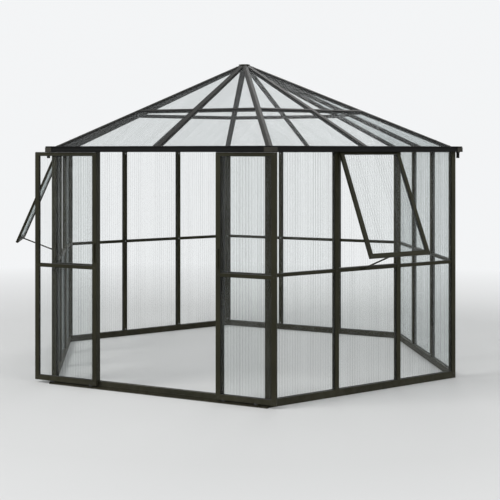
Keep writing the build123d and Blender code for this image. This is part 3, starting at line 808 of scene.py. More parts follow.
class MeshMaker:
    """Gathers closed shapes and turns them into one piece.

    Shapes are drawn in the seat that is set, and straight in the frame's metres where none is. A gasket's
    section and the profiles of screw heads are pairs of shares of their own size.
    """

    BEAD_SECTION = ((0.0, 0.0), (1.0, 0.0), (1.0, 0.35), (0.55, 0.85), (0.0, 1.0))
    PAN_HEAD = ((1.0, 0.25), (1.0, 0.55), (0.8, 0.88), (0.35, 1.0))
    HEX_HEAD = ((1.0, 0.3), (1.0, 0.9), (0.88, 1.0))
    PAN_WASHER, HEX_WASHER, WASHER_SUNK = 1.35, 1.4, 0.3
    PAN_STEPS, HEX_STEPS = (16, 12), (20, 6)
    JOINT_HALF, JOINT_PROUD, JOINT_END = 0.35, 0.12, 1.0

    def __init__(self, seat: Matrix | None = None) -> None:
        """Starts with nothing.

        Args:
            seat: Where the shapes are drawn.
        """
        self.points: list[Vector] = []
        self.faces: list[tuple[int, ...]] = []
        self.seat = seat or Matrix.Identity(4)

    def prism(self, outline: list[Vector], sweep: Vector) -> None:
        """Adds a flat outline moved along a straight line, as a closed solid.

        Args:
            outline: The corners, in order.
            sweep: How far and which way the outline moves.
        """
        start, n = len(self.points), len(outline)
        centre = sum(outline, Vector()) / n
        turn = sum(((outline[i] - centre).cross(outline[(i + 1) % n] - centre) for i in range(n)), Vector())
        ordered = list(outline) if turn.dot(sweep) > 0 else list(reversed(outline))
        self.points += [self.seat @ p for p in ordered + [p + sweep for p in ordered]]
        self.faces.append(tuple(start + i for i in reversed(range(n))))
        self.faces.append(tuple(start + n + i for i in range(n)))
        for i in range(n):
            j = (i + 1) % n
            self.faces.append((start + i, start + j, start + n + j, start + n + i))

    def bar(self, start: Vector, end: Vector, width: Vector, height: Vector) -> None:
        """Adds a straight bar of rectangular section.

        Args:
            start: Middle of its first end.
            end: Middle of its other end.
            width: Its width, in its own direction.
            height: Its height, in its own direction.
        """
        u, v = width / 2, height / 2
        self.prism([start - u - v, start + u - v, start + u + v, start - u + v], end - start)

    def block(self, x: Span, y: Span, z: Span) -> None:
        """Adds an upright block between two places on each axis of the seat."""
        corners = ((x[0], y[0]), (x[1], y[0]), (x[1], y[1]), (x[0], y[1]))
        self.prism([Vector((a, b, z[0])) for a, b in corners], UP * (z[1] - z[0]))

    def joint_line(self, x: float, face: float, z: Span) -> None:
        """Adds the fine dark line where a rail butts against a stile, a hair proud of the face.

        Args:
            x: The joint's place.
            face: The place of the face.
            z: The rail's lower and upper edges.
        """
        run = z[0] + self.JOINT_END, z[1] - self.JOINT_END
        self.block(around(x, self.JOINT_HALF), around(face, self.JOINT_PROUD), run)

    def bead(self, start: Vector, end: Vector, inward: Vector, outward: Vector, size: Span) -> None:
        """Adds a wedge gasket that lies in the corner between a sheet and a bar.

        Args:
            start: Its first end, in the corner.
            end: Its other end, in the corner.
            inward: Direction from the bar over the sheet.
            outward: Direction away from the sheet.
            size: How far it reaches over the sheet, and how far it stands off it at the bar.
        """
        u, v = inward.normalized() * size[0], outward.normalized() * size[1]
        self.prism([start + u * a + v * b for a, b in self.BEAD_SECTION], end - start)

    def gaskets(self, x: Span, z: Span, faces: Span, size: Span = (3.2, 2.2)) -> None:
        """Adds the gaskets of an upright opening, with square butt corners.

        Args:
            x: The opening's left and right edges.
            z: The opening's lower and upper edges.
            faces: The sheet's outer and inner face.
            size: How far the gaskets reach over the sheet, and how far they stand off it.
        """
        inset = RIGHT * size[0]
        for y, out in zip(faces, (OUTWARD, INWARD)):
            low, high = Vector((x[0], y, z[0])), Vector((x[1], y, z[1]))
            foot, head = Vector((x[1], y, z[0])), Vector((x[0], y, z[1]))
            self.bead(low, head, RIGHT, out, size)
            self.bead(foot, high, -RIGHT, out, size)
            self.bead(low + inset, foot - inset, UP, out, size)
            self.bead(head + inset, high - inset, -UP, out, size)

    def lathe(
        self, profile: tuple[Span, ...], foot: Vector, axis: Vector, steps: int, ring: bool = False
    ) -> None:
        """Adds a turned solid.

        Args:
            profile: Pairs of radius and height from the foot to the top, with no point on the axis.
            foot: Where its foot stands.
            axis: The way it points.
            steps: How many facets go round.
            ring: Whether the profile closes round a hole, in place of a flat foot and top.
        """
        start, rows = len(self.points), len(profile)
        stand = self.seat @ Matrix.Translation(foot) @ axis.to_track_quat("Z", "Y").to_matrix().to_4x4()
        for radius, height in profile:
            for k in range(steps):
                angle = 2 * math.pi * k / steps
                point = Vector((radius * math.cos(angle), radius * math.sin(angle), height))
                self.points.append(stand @ point)
        for row in range(rows if ring else rows - 1):
            here, there = start + row * steps, start + (row + 1) % rows * steps
            for k in range(steps):
                j = (k + 1) % steps
                self.faces.append((here + k, here + j, there + j, there + k))
        if not ring:
            self.faces.append(tuple(start + k for k in reversed(range(steps))))
            self.faces.append(tuple(start + (rows - 1) * steps + k for k in range(steps)))

    def head(
        self,
        foot: Vector,
        axis: Vector,
        size: Span,
        shares: tuple[Span, ...],
        washer: float,
        steps: tuple[int, int],
    ) -> None:
        """Adds the head of a screw or bolt with a washer under it.

        Args:
            foot: Where its foot stands.
            axis: The way it points.
            size: Its radius and height.
            shares: The head's profile from the washer up, as shares of its size.
            washer: The washer's radius, as a share of the head's.
            steps: How many facets go round the washer and the head.
        """
        radius, height = size
        disc = ((washer * radius, -self.WASHER_SUNK), (washer * radius, shares[0][1] * height))
        self.lathe(disc, foot, axis, steps[0])
        self.lathe(tuple((r * radius, h * height) for r, h in shares), foot, axis, steps[1])

    def pan_head(self, foot: Vector, axis: Vector, size: Span) -> None:
        """Adds the pan head of a screw of some radius and height."""
        self.head(foot, axis, size, self.PAN_HEAD, self.PAN_WASHER, self.PAN_STEPS)

    def hex_bolt(self, foot: Vector, axis: Vector, size: Span) -> None:
        """Adds a hexagonal nut or bolt head of some radius and height."""
        self.head(foot, axis, size, self.HEX_HEAD, self.HEX_WASHER, self.HEX_STEPS)

    def piece(
        self, name: str, finish: Material, body: Body = Body.HOUSE, slot: Slot = Slot.POWDER_COAT
    ) -> None:
        """Makes the gathered shapes one object that rides on a body.

        Args:
            name: The piece's name.
            finish: Its material.
            body: What it moves with.
            slot: Not used.
        """
        mesh = bpy.data.meshes.new(name)
        mesh.from_pydata([tuple(p) for p in self.points], [], self.faces)
        mesh.materials.append(finish)
        mesh.validate()
        made = bpy.data.objects.new(name, mesh)
        bpy.context.scene.collection.objects.link(made)
        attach(made, body.value)
        LOG.info("%s: %d faces, on %s", name, len(mesh.polygons), body.value)


@dataclass
class Plate:
    """One flat sheet of the frame, read from its solid."""

    outline: list[Vector]
    normal: Vector
    along: Vector
    across: Vector
    thickness: float

    def clip(self, offset: float) -> Span | None:
        """Where a line along the ribs enters and leaves the outline.

        Args:
            offset: The line's place across the ribs.

        Returns:
            The two places along the line, or None where it misses the sheet.
        """
        cuts = []
        for i, a in enumerate(self.outline):
            b = self.outline[(i + 1) % len(self.outline)]
            ua, ub = a.dot(self.across), b.dot(self.across)
            if (ua - offset) * (ub - offset) < 0:
                share = (offset - ua) / (ub - ua)
                cuts.append(a.lerp(b, share).dot(self.along))
        return (min(cuts), max(cuts)) if len(cuts) > 1 else None


def solids_of(node: bpy.types.Object) -> list[list[Vector]]:
    """The separate solids of a frame node, as the corners of each.

    Args:
        node: The node's object.

    Returns:
        One list of different corners for each solid.
    """
    mesh = node.data
    keys = [tuple(round(c, SAME_CORNER) for c in v.co) for v in mesh.vertices]
    chief: dict[Triple, Triple] = {k: k for k in keys}

    def find(key: Triple) -> Triple:
        """Follows a corner to the one that stands for its whole solid.

        Args:
            key: Any corner.

        Returns:
            The solid's chief corner.
        """
        while chief[key] != key:
            chief[key] = chief[chief[key]]
            key = chief[key]
        return key

    for face in mesh.polygons:
        first = find(keys[face.vertices[0]])
        for index in face.vertices[1:]:
            chief[find(keys[index])] = first
    groups: dict[Triple, list[Vector]] = {}
    for key in sorted(set(keys)):
        groups.setdefault(find(key), []).append(Vector(key))
    return [groups[k] for k in sorted(groups)]


def plate_from(corners: list[Vector]) -> Plate:
    """Reads a flat sheet from its corners.

    Args:
        corners: The corners of one convex plate.

    Returns:
        Its outline in its middle plane, its directions and its thickness.
    """
    centre = sum(corners, Vector()) / len(corners)
    best = math.inf, Vector()
    for i, a in enumerate(corners):
        for b in corners[i + 1:]:
            for c in corners:
                n = (b - a).cross(c - a)
                if n.length < IN_LINE:
                    continue
                n.normalize()
                reach = [p.dot(n) for p in corners]
                best = min(best, (max(reach) - min(reach), n), key=lambda found: found[0])
    thickness, normal = best
    if normal.dot(centre - UP) < 0:
        normal = -normal
    along = (UP - UP.dot(normal) * normal).normalized()
    across = along.cross(normal)
    outer = [p for p in corners if (p - centre).dot(normal) > 0]
    outer.sort(key=lambda p: math.atan2((p - centre).dot(along), (p - centre).dot(across)))
    outline = [p - normal * thickness / 2 for p in outer]
    return Plate(outline, normal, along, across, thickness)


def dress(frame: dict, node: str, finish: Material) -> None:
    """Gives a frame node its finish.

    Args:
        node: The node's name.
        finish: The material for all of it.
    """
    slots = frame["nodes"][node].data.materials
    slots.clear()
    slots.append(finish)


@dataclass
class Glazing:
    """The ribs inside every sheet of some frame nodes, and the finish of the sheets' skins. Ribs stand a
    pitch apart and run up the sheet, from skin to skin."""

    name: str
    nodes: tuple[str, ...]
    skin: Material
    rib: Material
    body: Body = Body.HOUSE
    pitch: float = 10.5 * MM
    rib_width: float = 0.4 * MM
    skin_depth: float = 0.5 * MM
    end_gap: float = 2.0 * MM
    shortest: float = 8.0 * MM

    def build(self, frame: dict) -> None:
        """Dresses the sheets and adds their ribs.
        """
        maker = MeshMaker()
        for node in self.nodes:
            dress(frame, node, self.skin)
            for corners in solids_of(frame["nodes"][node]):
                self.add_ribs(maker, plate_from(corners))
        maker.piece(self.name, self.rib, self.body, Slot.POLYCARBONATE)

    def add_ribs(self, maker: MeshMaker, plate: Plate) -> None:
        """Adds the ribs of one sheet.

        Args:
            maker: Where they are gathered.
            plate: The sheet.
        """
        reach = [p.dot(plate.across) for p in plate.outline]
        low, high = min(reach), max(reach)
        count = int((high - low) / self.pitch)
        first = (low + high - (count - 1) * self.pitch) / 2
        level = plate.outline[0].dot(plate.normal)
        height = plate.normal * (plate.thickness - 2 * self.skin_depth)
        for k in range(count):
            offset = first + k * self.pitch
            run = plate.clip(offset)
            if run is None or run[1] - run[0] < self.shortest:
                continue
            origin = plate.across * offset + plate.normal * level
            start, end = (origin + plate.along * s for s in (run[0] + self.end_gap, run[1] - self.end_gap))
            maker.bar(start, end, plate.across * self.rib_width, height)


@dataclass
class FrameCoats:
    """The finishes of the frame's own bars, gutters, covers and wheels; the gutters' coat is darker with
    painted shade.
    """

    finish: Finishes

    def build(self, frame: dict) -> None:
        """Dresses every node, the sheets too until their own finish takes its place.
        """
        finish = self.finish
        own = {f"door_{leaf.name}_rollers": finish.nylon for leaf in LEAVES}
        # gutter fascias and spouts take the darker coat, whose tone is painted shade
        own |= dict.fromkeys(("gutter_fascias", "gutter_spouts"), finish.gutter)
        own |= dict.fromkeys(("roof_hips", "roof_rafters", "roof_purlins"), finish.roof_coat)
        own["gutter_corners"] = finish.cover_coat
        for node in frame["nodes"]:
            # eave gutters take the same darker coat of painted shade
            plain = finish.gutter if node.endswith("_eave_gutter") else finish.coat
            dress(frame, node, own.get(node, plain))


@dataclass
class WallTrim:
    """Gaskets round the fixed sheets, and the nuts and screws of the wall frames."""

    plan: Plan
    finish: Finishes
    nut: Span = (6.5, 4.5)
    nut_over_base: float = 17.0
    nut_under_eave: float = 18.0
    jamb_inset: float = 15.0
    foot_screw: Span = (3.6, 2.0)
    foot_screw_z: Span = (38.0, 49.0)
    post_screw: Span = (3.2, 1.6)
    post_screw_over_base: float = 14.0
    track_screw: Span = (3.6, 1.4)
    track_screws: int = 7
    track_pitch: float = 310.0
    track_y: float = -12.0
    track_top: float = 4.0

    def build(self) -> None:
        """Adds the pieces."""
        self.add_gaskets()
        self.add_nuts()
        self.add_screws()

    def openings(self, side: int) -> list[tuple[Span, Span]]:
        """The openings of the fixed sheets on a side.

        Args:
            side: The side's number.

        Returns:
            The edges of each opening, as pairs along x and z.
        """
        p = self.plan
        near, inner = p.post_x + p.post_half, p.post_x - p.post_half
        rows = ((p.base_top, p.rail[0]), (p.rail[1], p.eave))
        if side == FRONT:
            spans = ((-p.corner_arm_x, p.jambs[0]), (p.jambs[1], p.corner_arm_x))
        else:
            spans = ((-p.corner_arm_x, -near), (-inner, inner), (near, p.corner_arm_x))
        window = side in WINDOW_SIDES
        return [(x, z) for x in spans for z in rows if not (window and x[0] == -inner and z == rows[1])]

    def add_gaskets(self) -> None:
        """Adds a gasket on both faces of each fixed sheet."""
        maker = MeshMaker()
        for side in range(SIDES):
            maker.seat = wall_seat(side, self.plan)
            for x, z in self.openings(side):
                maker.gaskets(x, z, self.plan.sheet)
        maker.piece("wall_gaskets", self.finish.gasket)

    def add_nuts(self) -> None:
        """Adds the nuts inside the room, where posts meet the base rail, mid rail and head rail."""
        maker, p = MeshMaker(), self.plan
        jambs = p.jambs[0] + self.jamb_inset, p.jambs[1] - self.jamb_inset
        left, right = around(0.0, p.corner_arm_x + p.post_half)
        levels = p.base_top + self.nut_over_base, sum(p.rail) / 2, p.eave - self.nut_under_eave
        for side in range(SIDES):
            maker.seat = wall_seat(side, p)
            for x in (left, *(jambs if side == FRONT else around(0.0, p.post_x)), right):
                for z in levels:
                    maker.hex_bolt(Vector((x, p.wall_depth, z)), INWARD, self.nut)
        maker.piece("frame_nuts", self.finish.zinc)

    def add_screws(self) -> None:
        """Adds the dark screws on the outside of the posts, and the screws that hold the door track."""
        maker, p = MeshMaker(), self.plan
        for side in range(SIDES):
            maker.seat = wall_seat(side, p)
            for x in around(0.0, p.corner_arm_x + p.post_half):
                for z in self.foot_screw_z:
                    maker.pan_head(Vector((x, 0.0, z)), OUTWARD, self.foot_screw)
            if side == FRONT:
                continue
            for x in around(0.0, p.post_x):
                for z in (p.base_top + self.post_screw_over_base, sum(p.rail) / 2):
                    maker.pan_head(Vector((x, 0.0, z)), OUTWARD, self.post_screw)
        maker.seat = wall_seat(FRONT, p)
        for x in spaced(self.track_screws, self.track_pitch):
            maker.pan_head(Vector((x, self.track_y, self.track_top)), UP, self.track_screw)
        maker.piece("frame_screws", self.finish.black_steel)


@dataclass
class DoorTrim:
    """What one leaf carries: gaskets, screws, wheel bolts, brush seals and the lines at its joints."""

    leaf: Leaf
    plan: Plan
    finish: Finishes
    corner_screw: Span = (2.8, 1.2)
    axle_head: Span = (5.0, 3.2)
    axle_end: Span = (3.6, 2.0)
    pull_screw: Span = (2.4, 0.7)
    pull_screw_z: Span = (1066.0, 1214.0)
    pull_y: float = -54.0
    brush_y: Span = (-36.0, -18.0)
    carrier_inset: float = 3.0
    carrier_half: float = 1.4
    carrier_height: float = 1.2
    brush_inset: float = 4.0
    brush_half: float = 0.9
    brush_height: float = 4.0

    def build(self) -> None:
        """Adds the pieces."""
        self.add_gaskets()
        self.add_screws()
        self.add_brushes()
        self.add_joint_lines()

    def rails(self) -> tuple[Span, Span, Span]:
        """Lists the leaf's rails.

        Returns:
            The lower and upper edges of the bottom, middle and top rail.
        """
        lower, upper = self.leaf.rows
        low, high = self.plan.leaf_z
        return (low, lower[0]), (lower[1], upper[0]), (upper[1], high)

    def piece(self, maker: MeshMaker, part: str, finish: Material, slot: Slot = Slot.POWDER_COAT) -> None:
        """Makes a maker's shapes a piece that rides on the leaf."""
        maker.piece(f"door_{self.leaf.name}_{part}", finish, self.leaf.body, slot)

    def add_gaskets(self) -> None:
        """Adds the gaskets of both sheets."""
        maker = MeshMaker(wall_seat(FRONT, self.plan))
        faces = around(sum(self.plan.leaf_y) / 2, self.plan.sheet_half)
        for row in self.leaf.rows:
            maker.gaskets(self.leaf.opening, row, faces)
        self.piece(maker, "gaskets", self.finish.gasket)

    def add_screws(self) -> None:
        """Adds the screws of the frame's corners, the wheels' axles and the pull."""
        maker, leaf = MeshMaker(wall_seat(FRONT, self.plan)), self.leaf
        front, back = self.plan.leaf_y
        for rail in self.rails():
            for x in leaf.between(leaf.stile / 2):
                maker.pan_head(Vector((x, front, sum(rail) / 2)), OUTWARD, self.corner_screw)
        for x in leaf.wheels:
            maker.hex_bolt(Vector((x, front, leaf.axle_z)), OUTWARD, self.axle_head)
            maker.pan_head(Vector((x, back, leaf.axle_z)), INWARD, self.axle_end)
        for z in self.pull_screw_z:
            maker.pan_head(Vector((leaf.pull, self.pull_y, z)), OUTWARD, self.pull_screw)
        self.piece(maker, "screws", self.finish.black_steel)

    def add_brushes(self) -> None:
        """Adds the two rows of bristles along the top, and their carriers."""
        seat, leaf = wall_seat(FRONT, self.plan), self.leaf
        carriers, brushes = MeshMaker(seat), MeshMaker(seat)
        top = self.plan.leaf_z[1]
        root, tip = top + self.carrier_height, top + self.brush_height
        for y in self.brush_y:
            carriers.block(leaf.between(self.carrier_inset), around(y, self.carrier_half), (top, root))
            brushes.block(leaf.between(self.brush_inset), around(y, self.brush_half), (root, tip))
        self.piece(carriers, "brush_carriers", self.finish.mill)
        self.piece(brushes, "brushes", self.finish.bristle, Slot.NYLON)

    def add_joint_lines(self) -> None:
        """Adds the lines where the rails meet the stiles, on both faces."""
        maker = MeshMaker(wall_seat(FRONT, self.plan))
        for rail in self.rails():
            for x in self.leaf.opening:
                for face in self.plan.leaf_y:
                    maker.joint_line(x, face, rail)
        self.piece(maker, "joint_lines", self.finish.gasket)


@dataclass
class JambTrim:
    """The upright brush seals on the jambs, which the backs of the leaves pass."""

    plan: Plan
    finish: Finishes
    inset: float = 8.0
    over_base: float = 4.0
    under_eave: float = 2.0
    carrier_half: float = 3.2
    carrier_depth: float = 2.4
    brush_half: float = 1.2
    brush_reach: float = 8.5

    def build(self) -> None:
        """Adds the pieces."""
        p, seat = self.plan, wall_seat(FRONT, self.plan)
        carriers, brushes = MeshMaker(seat), MeshMaker(seat)
        z = p.base_top + self.over_base, p.eave - self.under_eave
        for x in (p.jambs[0] + self.inset, p.jambs[1] - self.inset):
            carriers.block(around(x, self.carrier_half), (-self.carrier_depth, 0.0), z)
            brushes.block(around(x, self.brush_half), (-self.brush_reach, -self.carrier_depth), z)
        carriers.piece("jamb_brush_carriers", self.finish.coat)
        brushes.piece("jamb_brushes", self.finish.bristle, slot=Slot.NYLON)


@dataclass
class WindowTrim:
    """Gaskets, seals, screws, hinge ends, stay bolts and lines at the joints of the two open windows."""

    plan: Plan
    sash: Sash
    finish: Finishes
    seal_gap: float = 0.5
    seal_width: float = 3.0
    seal_y: Span = (0.6, 4.0)
    seal_over_rail: float = 2.0
    seal_under_eave: float = 0.6
    sill_seal_inset: float = 3.8
    sill_seal_height: float = 3.5
    corner_screw: Span = (2.4, 1.0)
    corner_screw_inset: float = 17.0
    corner_screw_rise: Span = (12.0, 25.0)
    pin_offset: float = 5.0
    pin_profile: tuple[Span, ...] = ((4.6, -0.2), (4.6, 1.2), (3.2, 2.2))
    plate_screw: Span = (2.0, 1.0)
    plate_shift: float = -2.0
    plate_screw_offset: float = 9.0
    plate_y: float = 1.0
    hinge_inset: float = 20.0
    hinge_profile: tuple[Span, ...] = ((4.4, 0.1), (4.4, 1.4), (3.4, 2.4))
    facets: int = 16

    def build(self) -> None:
        """Adds the pieces."""
        gaskets, seals, screws, ends, lines = (MeshMaker() for _ in range(5))
        s = self.sash
        for side in WINDOW_SIDES:
            fixed = wall_seat(side, self.plan)
            gaskets.seat = lines.seat = screws.seat = sash_seat(side, self.plan, s)
            seals.seat = ends.seat = fixed
            gaskets.gaskets(s.opening, (s.sill, s.head), s.sheet)
            for x in s.opening:
                lines.joint_line(x, s.front, (s.low, s.sill))
            self.add_corner_screws(screws)
            screws.seat = fixed
            self.add_stay_bolts(screws)
            self.add_seals(seals)
            for way in WAYS:
                foot = Vector((way * (s.bay_half - self.hinge_inset), *s.hinge))
                ends.lathe(self.hinge_profile, foot, RIGHT * way, self.facets)
        gaskets.piece("window_gaskets", self.finish.gasket)
        seals.piece("window_seals", self.finish.gasket)
        screws.piece("window_screws", self.finish.black_steel)
        ends.piece("window_hinge_ends", self.finish.nylon, slot=Slot.NYLON)
        lines.piece("window_joint_lines", self.finish.gasket)

    def add_corner_screws(self, maker: MeshMaker) -> None:
        """Adds the screws in the lower corners of a sash.

        Args:
            maker: Where they are gathered.
        """
        for x in around(0.0, self.sash.half - self.corner_screw_inset):
            for rise in self.corner_screw_rise:
                maker.pan_head(Vector((x, self.sash.front, self.sash.low + rise)), OUTWARD, self.corner_screw)

    def add_stay_bolts(self, maker: MeshMaker) -> None:
        """Adds the ends of the stay's pin, and the screws of the plate that holds it.

        Args:
            maker: Where they are gathered.
        """
        s = self.sash
        for way in WAYS:
            pin = Vector((s.stay_x + self.pin_offset * way, *s.stay_pin))
            maker.lathe(self.pin_profile, pin, RIGHT * way, self.facets)
        for x in around(s.stay_x + self.plate_shift, self.plate_screw_offset):
            maker.pan_head(Vector((x, self.plate_y, s.stay_pin[1])), OUTWARD, self.plate_screw)

    def add_seals(self, maker: MeshMaker) -> None:
        """Adds the rubber seals on the bay's two posts and its sill.

        Args:
            maker: Where they are gathered.
        """
        half = self.sash.bay_half
        low, high = self.plan.rail[1] + self.seal_over_rail, self.plan.eave - self.seal_under_eave
        for x in (-half + self.seal_gap, half - self.seal_gap - self.seal_width):
            maker.block((x, x + self.seal_width), self.seal_y, (low, high))
        maker.block(around(0.0, half - self.sill_seal_inset), self.seal_y, (low, low + self.sill_seal_height))


@dataclass
class RoofTrim:
    """Gaskets along the roof bars, end profiles on the lower sheets and the bars' screws."""

    plan: Plan
    finish: Finishes
    bead: Span = (3.0, 2.0)
    eave_cover: float = 15.0
    hip_lift: float = 1.0
    hip_clearance: float = 4.0
    hip_screw: Span = (4.2, 2.6)
    hip_screw_plan: Triple = (92.0, 1860.0, 1985.0)
    hip_screw_sunk: float = 0.8
    profile_wall: float = 1.2
    profile_top: float = 14.0
    profile_bottom: float = 5.4
    profile_gap: float = 0.1
    profile_end: float = 0.5
    bar_screw: Span = (3.4, 2.0)
    bar_screw_x: float = 7.0
    bar_screw_top: float = 104.0
    bar_screw_from_eave: float = 60.0
    purlin_screw: Span = (3.0, 1.8)
    purlin_screw_inset: Span = (14.0, 16.0)

    def build(self) -> None:
        """Adds the pieces."""
        gaskets, profiles, screws = MeshMaker(), MeshMaker(), MeshMaker()
        p = self.plan
        for side in range(SIDES):
            gaskets.seat = profiles.seat = screws.seat = roof_seat(side, p)
            for way in WAYS:
                self.add_gaskets(gaskets, way)
                self.add_profile(profiles, way)
                self.add_bar_screws(screws, way)
            screws.seat = hip_seat(side, p)
            for plan in self.hip_screw_plan:
                foot = Vector((plan / math.cos(p.hip_slope), 0.0, p.ridge_height - self.hip_screw_sunk))
                screws.pan_head(foot, UP, self.hip_screw)
        gaskets.piece("roof_gaskets", self.finish.gasket)
        profiles.piece("roof_end_profiles", self.finish.coat)
        screws.piece("roof_screws", self.finish.black_steel)

    def rows(self) -> tuple[Span, Span]:
        """Lists the stretches of a roof face where sheets show between the bars.

        Returns:
            How far down the face the upper and the lower sheets start and end.
        """
        p = self.plan
        above, below = around(p.purlin_line, p.purlin_half)
        return (p.down_slope(p.hub_reach), above), (below, p.sheet_end - self.eave_cover)

    def add_gaskets(self, maker: MeshMaker, way: float) -> None:
        """Adds the gaskets of the sheets on one half of a roof face, above and below them.

        Args:
            maker: Where they are gathered.
            way: -1 for the left half and 1 for the right half.
        """
        p = self.plan
        upper, lower = self.rows()
        for (s0, s1), end, up_slope in ((upper, upper[1], INWARD), (lower, lower[0], OUTWARD)):
            for out in WAYS:
                rise, level = UP * out, out * p.sheet_half
                rafter = [Vector((way * p.rafter_half, -s, level)) for s in (s0, s1)]
                hip = [Vector((way * p.hip_edge(s), -s, level)) for s in (s0 + self.hip_lift, s1)]
                cross = p.rafter_half + self.bead[0], p.hip_edge(end) - self.hip_clearance
                purlin = [Vector((way * x, -end, level)) for x in cross]
                over_sheet = (hip[1] - hip[0]).normalized().cross(UP) * way
                maker.bead(*rafter, RIGHT * way, rise, self.bead)
                maker.bead(*hip, over_sheet, rise, self.bead)
                maker.bead(*purlin, up_slope, rise, self.bead)

    def add_profile(self, maker: MeshMaker, way: float) -> None:
        """Adds the channel over the lower edge of a sheet, between a rafter and a hip.

        Args:
            maker: Where it is gathered.
            way: -1 for the left half and 1 for the right half.
        """
        p, t = self.plan, self.profile_wall
        edge, h = p.sheet_end, p.sheet_half
        ends = p.rafter_half + self.profile_end, p.hip_edge(edge - self.profile_top) - self.profile_end
        left, right = sorted(way * x for x in ends)
        top, bottom, whole = (h, h + t), (-h - t, -h), (-h - t, h + t)
        for reach, z in ((self.profile_top, top), (-self.profile_gap, whole), (self.profile_bottom, bottom)):
            maker.block((left, right), (-t - edge, reach - edge), z)

    def add_bar_screws(self, maker: MeshMaker, way: float) -> None:
        """Adds the screws of the rafter and of one purlin on a roof face.

        Args:
            maker: Where they are gathered.
            way: -1 for the left half and 1 for the right half.
        """
        p = self.plan
        low = p.down_slope(p.apothem - self.bar_screw_from_eave)
        for s in (p.down_slope(self.bar_screw_top), p.purlin_line, low):
            maker.pan_head(Vector((way * self.bar_screw_x, -s, p.flange_top)), UP, self.bar_screw)
        near_rafter, near_hip = self.purlin_screw_inset
        for x in (p.rafter_half + near_rafter, p.hip_edge(p.purlin_line) - near_hip):
            maker.pan_head(Vector((way * x, -p.purlin_line, p.flange_top)), UP, self.purlin_screw)


@dataclass
class GutterTrim:
    """Sealant over the gutter's mitres and round its outlets, and screws along its floor."""

    plan: Plan
    finish: Finishes
    seam_y: Span = (-9.0, -44.0)
    seam_lift: float = 0.5
    seam_width: float = 7.0
    seam_height: float = 1.4
    screw: Span = (3.0, 1.6)
    screws: int = 5
    screw_pitch: float = 400.0
    screw_y: float = -16.0
    outlet_y: float = -30.0
    outlet_profile: tuple[Span, ...] = ((12.2, 0.0), (16.0, 0.0), (15.0, 1.2), (12.2, 1.2))
    outlet_facets: int = 24

    def build(self) -> None:
        """Adds the pieces."""
        sealant, screws = MeshMaker(), MeshMaker()
        p = self.plan
        level = p.trough + self.seam_lift
        for side in range(SIDES):
            sealant.seat = screws.seat = wall_seat(side, p)
            start, end = (Vector(((p.apothem - y) * math.tan(HALF_SIDE), y, level)) for y in self.seam_y)
            across = (end - start).cross(UP).normalized()
            sealant.bar(start, end, across * self.seam_width, UP * self.seam_height)
            for x in spaced(self.screws, self.screw_pitch):
                screws.pan_head(Vector((x, self.screw_y, p.trough)), UP, self.screw)
        for side, x in OUTLETS:
            sealant.seat = wall_seat(side, p)
            foot = Vector((x, self.outlet_y, p.trough))
            sealant.lathe(self.outlet_profile, foot, UP, self.outlet_facets, ring=True)
        sealant.piece("gutter_sealant", self.finish.gasket)
        screws.piece("gutter_screws", self.finish.black_steel)


@dataclass(frozen=True)
class SoftLight:
    """A square soft light of the studio, which faces the middle of the greenhouse."""

    name: str
    place: Triple
    power: float
    size: float = 5.0
    target: Triple = (0.0, 0.0, 1.2)

    def build(self) -> None:
        """Adds the light."""
        data = bpy.data.lights.new(self.name, "AREA")
        data.shape = "SQUARE"
        data.size = self.size
        data.energy = self.power
        light = bpy.data.objects.new(self.name, data)
        light.location = self.place
        light.rotation_euler = (Vector(self.target) - Vector(self.place)).to_track_quat("-Z", "Y").to_euler()
        bpy.context.scene.collection.objects.link(light)


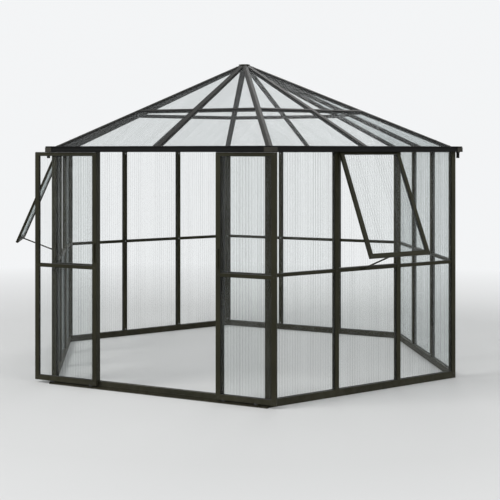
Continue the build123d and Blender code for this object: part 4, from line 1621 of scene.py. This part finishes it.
@dataclass
class Studio:
    """The camera, the pale floor and sky, and the soft lights."""

    camera_place: Triple = (4.33115, -9.56380, 1.99002)
    camera_turn: float = 26.442
    lens: float = 78.31
    sensor: float = 36.0
    shift: Span = (0.09, -0.19677)
    backdrop: Triple = (0.90, 0.91, 0.92)
    floor_tone: Triple = (0.62, 0.62, 0.61)
    floor_radius: float = 60.0
    fade: Span = (3.6, 9.0)
    sky: float = 0.62
    sky_tone: Triple = (0.95, 0.97, 1.0)
    clear_bounces: int = 64
    lights: tuple[SoftLight, ...] = (
        SoftLight("key_light", (-6.0, -9.0, 8.5), power=900.0),
        SoftLight("side_light", (8.0, -3.0, 6.0), power=260.0),
        SoftLight("back_light", (-2.0, 9.0, 7.0), power=300.0),
    )

    def build(self) -> None:
        """Sets up everything around the greenhouse."""
        self.add_camera()
        self.add_world()
        self.add_floor()
        for light in self.lights:
            light.build()
        scene = bpy.context.scene
        scene.view_settings.view_transform = "Standard"
        scene.cycles.transparent_max_bounces = self.clear_bounces
        LOG.info("studio: camera, floor, sky and %d lights", len(self.lights))

    def add_camera(self) -> None:
        """Adds the camera at the photograph's viewing angle."""
        data = bpy.data.cameras.new("camera")
        data.sensor_width = self.sensor
        data.lens = self.lens
        data.shift_x, data.shift_y = self.shift
        camera = bpy.data.objects.new("camera", data)
        camera.location = self.camera_place
        camera.rotation_euler = (math.radians(90), 0.0, math.radians(self.camera_turn))
        bpy.context.scene.collection.objects.link(camera)
        bpy.context.scene.camera = camera

    def plain_rays(self, t: NodeTree) -> Socket:
        """A share that is 1 for camera, glossy and transmission rays and 0 for the light on the object.

        Args:
            t: The tree of the floor or the sky.

        Returns:
            The share's socket.
        """
        path = t.add("LightPath").outputs
        share = path["Is Camera Ray"]
        for ray in ("Is Glossy Ray", "Is Transmission Ray"):
            share = t.math("ADD", share, path[ray], clamp=True)
        return share

    def add_world(self) -> None:
        """Adds the pale sky."""
        world = bpy.data.worlds.new("sky")
        bpy.context.scene.world = world
        t = NodeTree(world, "OutputWorld")
        light = t.fed("Background", {"Color": colour(*self.sky_tone), "Strength": self.sky})
        plain = t.fed("Background", {"Color": colour(*self.backdrop)})
        t.finish(t.mix(self.plain_rays(t), light, plain))

    def add_floor(self) -> None:
        """Adds the floor, which turns into the backdrop's tone away from the greenhouse."""
        t = NodeTree(bpy.data.materials.new("studio_floor"))
        far = t.spread(t.vector_math("LENGTH", t.place()).outputs["Value"], self.fade)
        matt = t.fed("BsdfDiffuse", {"Color": colour(*self.floor_tone)})
        glow = t.fed("Emission", {"Color": colour(*self.backdrop)})
        finish = t.finish(t.mix(t.math("MULTIPLY", far, self.plain_rays(t)), matt, glow))
        mesh = bpy.data.meshes.new("studio_floor")
        r = self.floor_radius
        mesh.from_pydata([(-r, -r, 0.0), (r, -r, 0.0), (r, r, 0.0), (-r, r, 0.0)], [], [(0, 1, 2, 3)])
        mesh.materials.append(finish)
        floor = bpy.data.objects.new("studio_floor", mesh)
        bpy.context.scene.collection.objects.link(floor)


def glazings(frame: dict, finish: Finishes) -> list[Glazing]:
    """The sheets of the house and their finishes.

    Args:
        finish: The finishes.

    Returns:
        The glazing of the walls, the roof and the windows.
    """
    walls = tuple(sorted(n for n in frame["nodes"] if n.endswith("_wall_sheets"))) + ("door_side_sheets",)
    roofs = ("roof_sheets_lower", "roof_sheets_upper")
    return [
        Glazing("wall_sheet_ribs", walls, finish.wall_skin, finish.rib),
        Glazing("roof_sheet_ribs", roofs, finish.roof_skin, finish.roof_rib),
        Glazing("window_sheet_ribs", ("window_sheets",), finish.wall_skin, finish.rib),
    ]


def main() -> None:
    """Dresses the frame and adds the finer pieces."""
    logging.basicConfig(level=logging.INFO, format="%(name)s: %(message)s")
    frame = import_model()
    Studio().build()
    finish, plan = Finishes(), Plan()
    FrameCoats(finish).build(frame)
    for glazing in glazings(frame, finish):
        glazing.build(frame)
    WallTrim(plan, finish).build()
    JambTrim(plan, finish).build()
    WindowTrim(plan, Sash(), finish).build()
    RoofTrim(plan, finish).build()
    GutterTrim(plan, finish).build()
    for leaf in LEAVES:
        name, sheets = f"door_{leaf.name}_sheet_ribs", (f"door_{leaf.name}_sheets",)
        Glazing(name, sheets, finish.wall_skin, finish.rib, leaf.body).build(frame)
        DoorTrim(leaf, plan, finish).build()


if __name__ == "__main__":
    main()
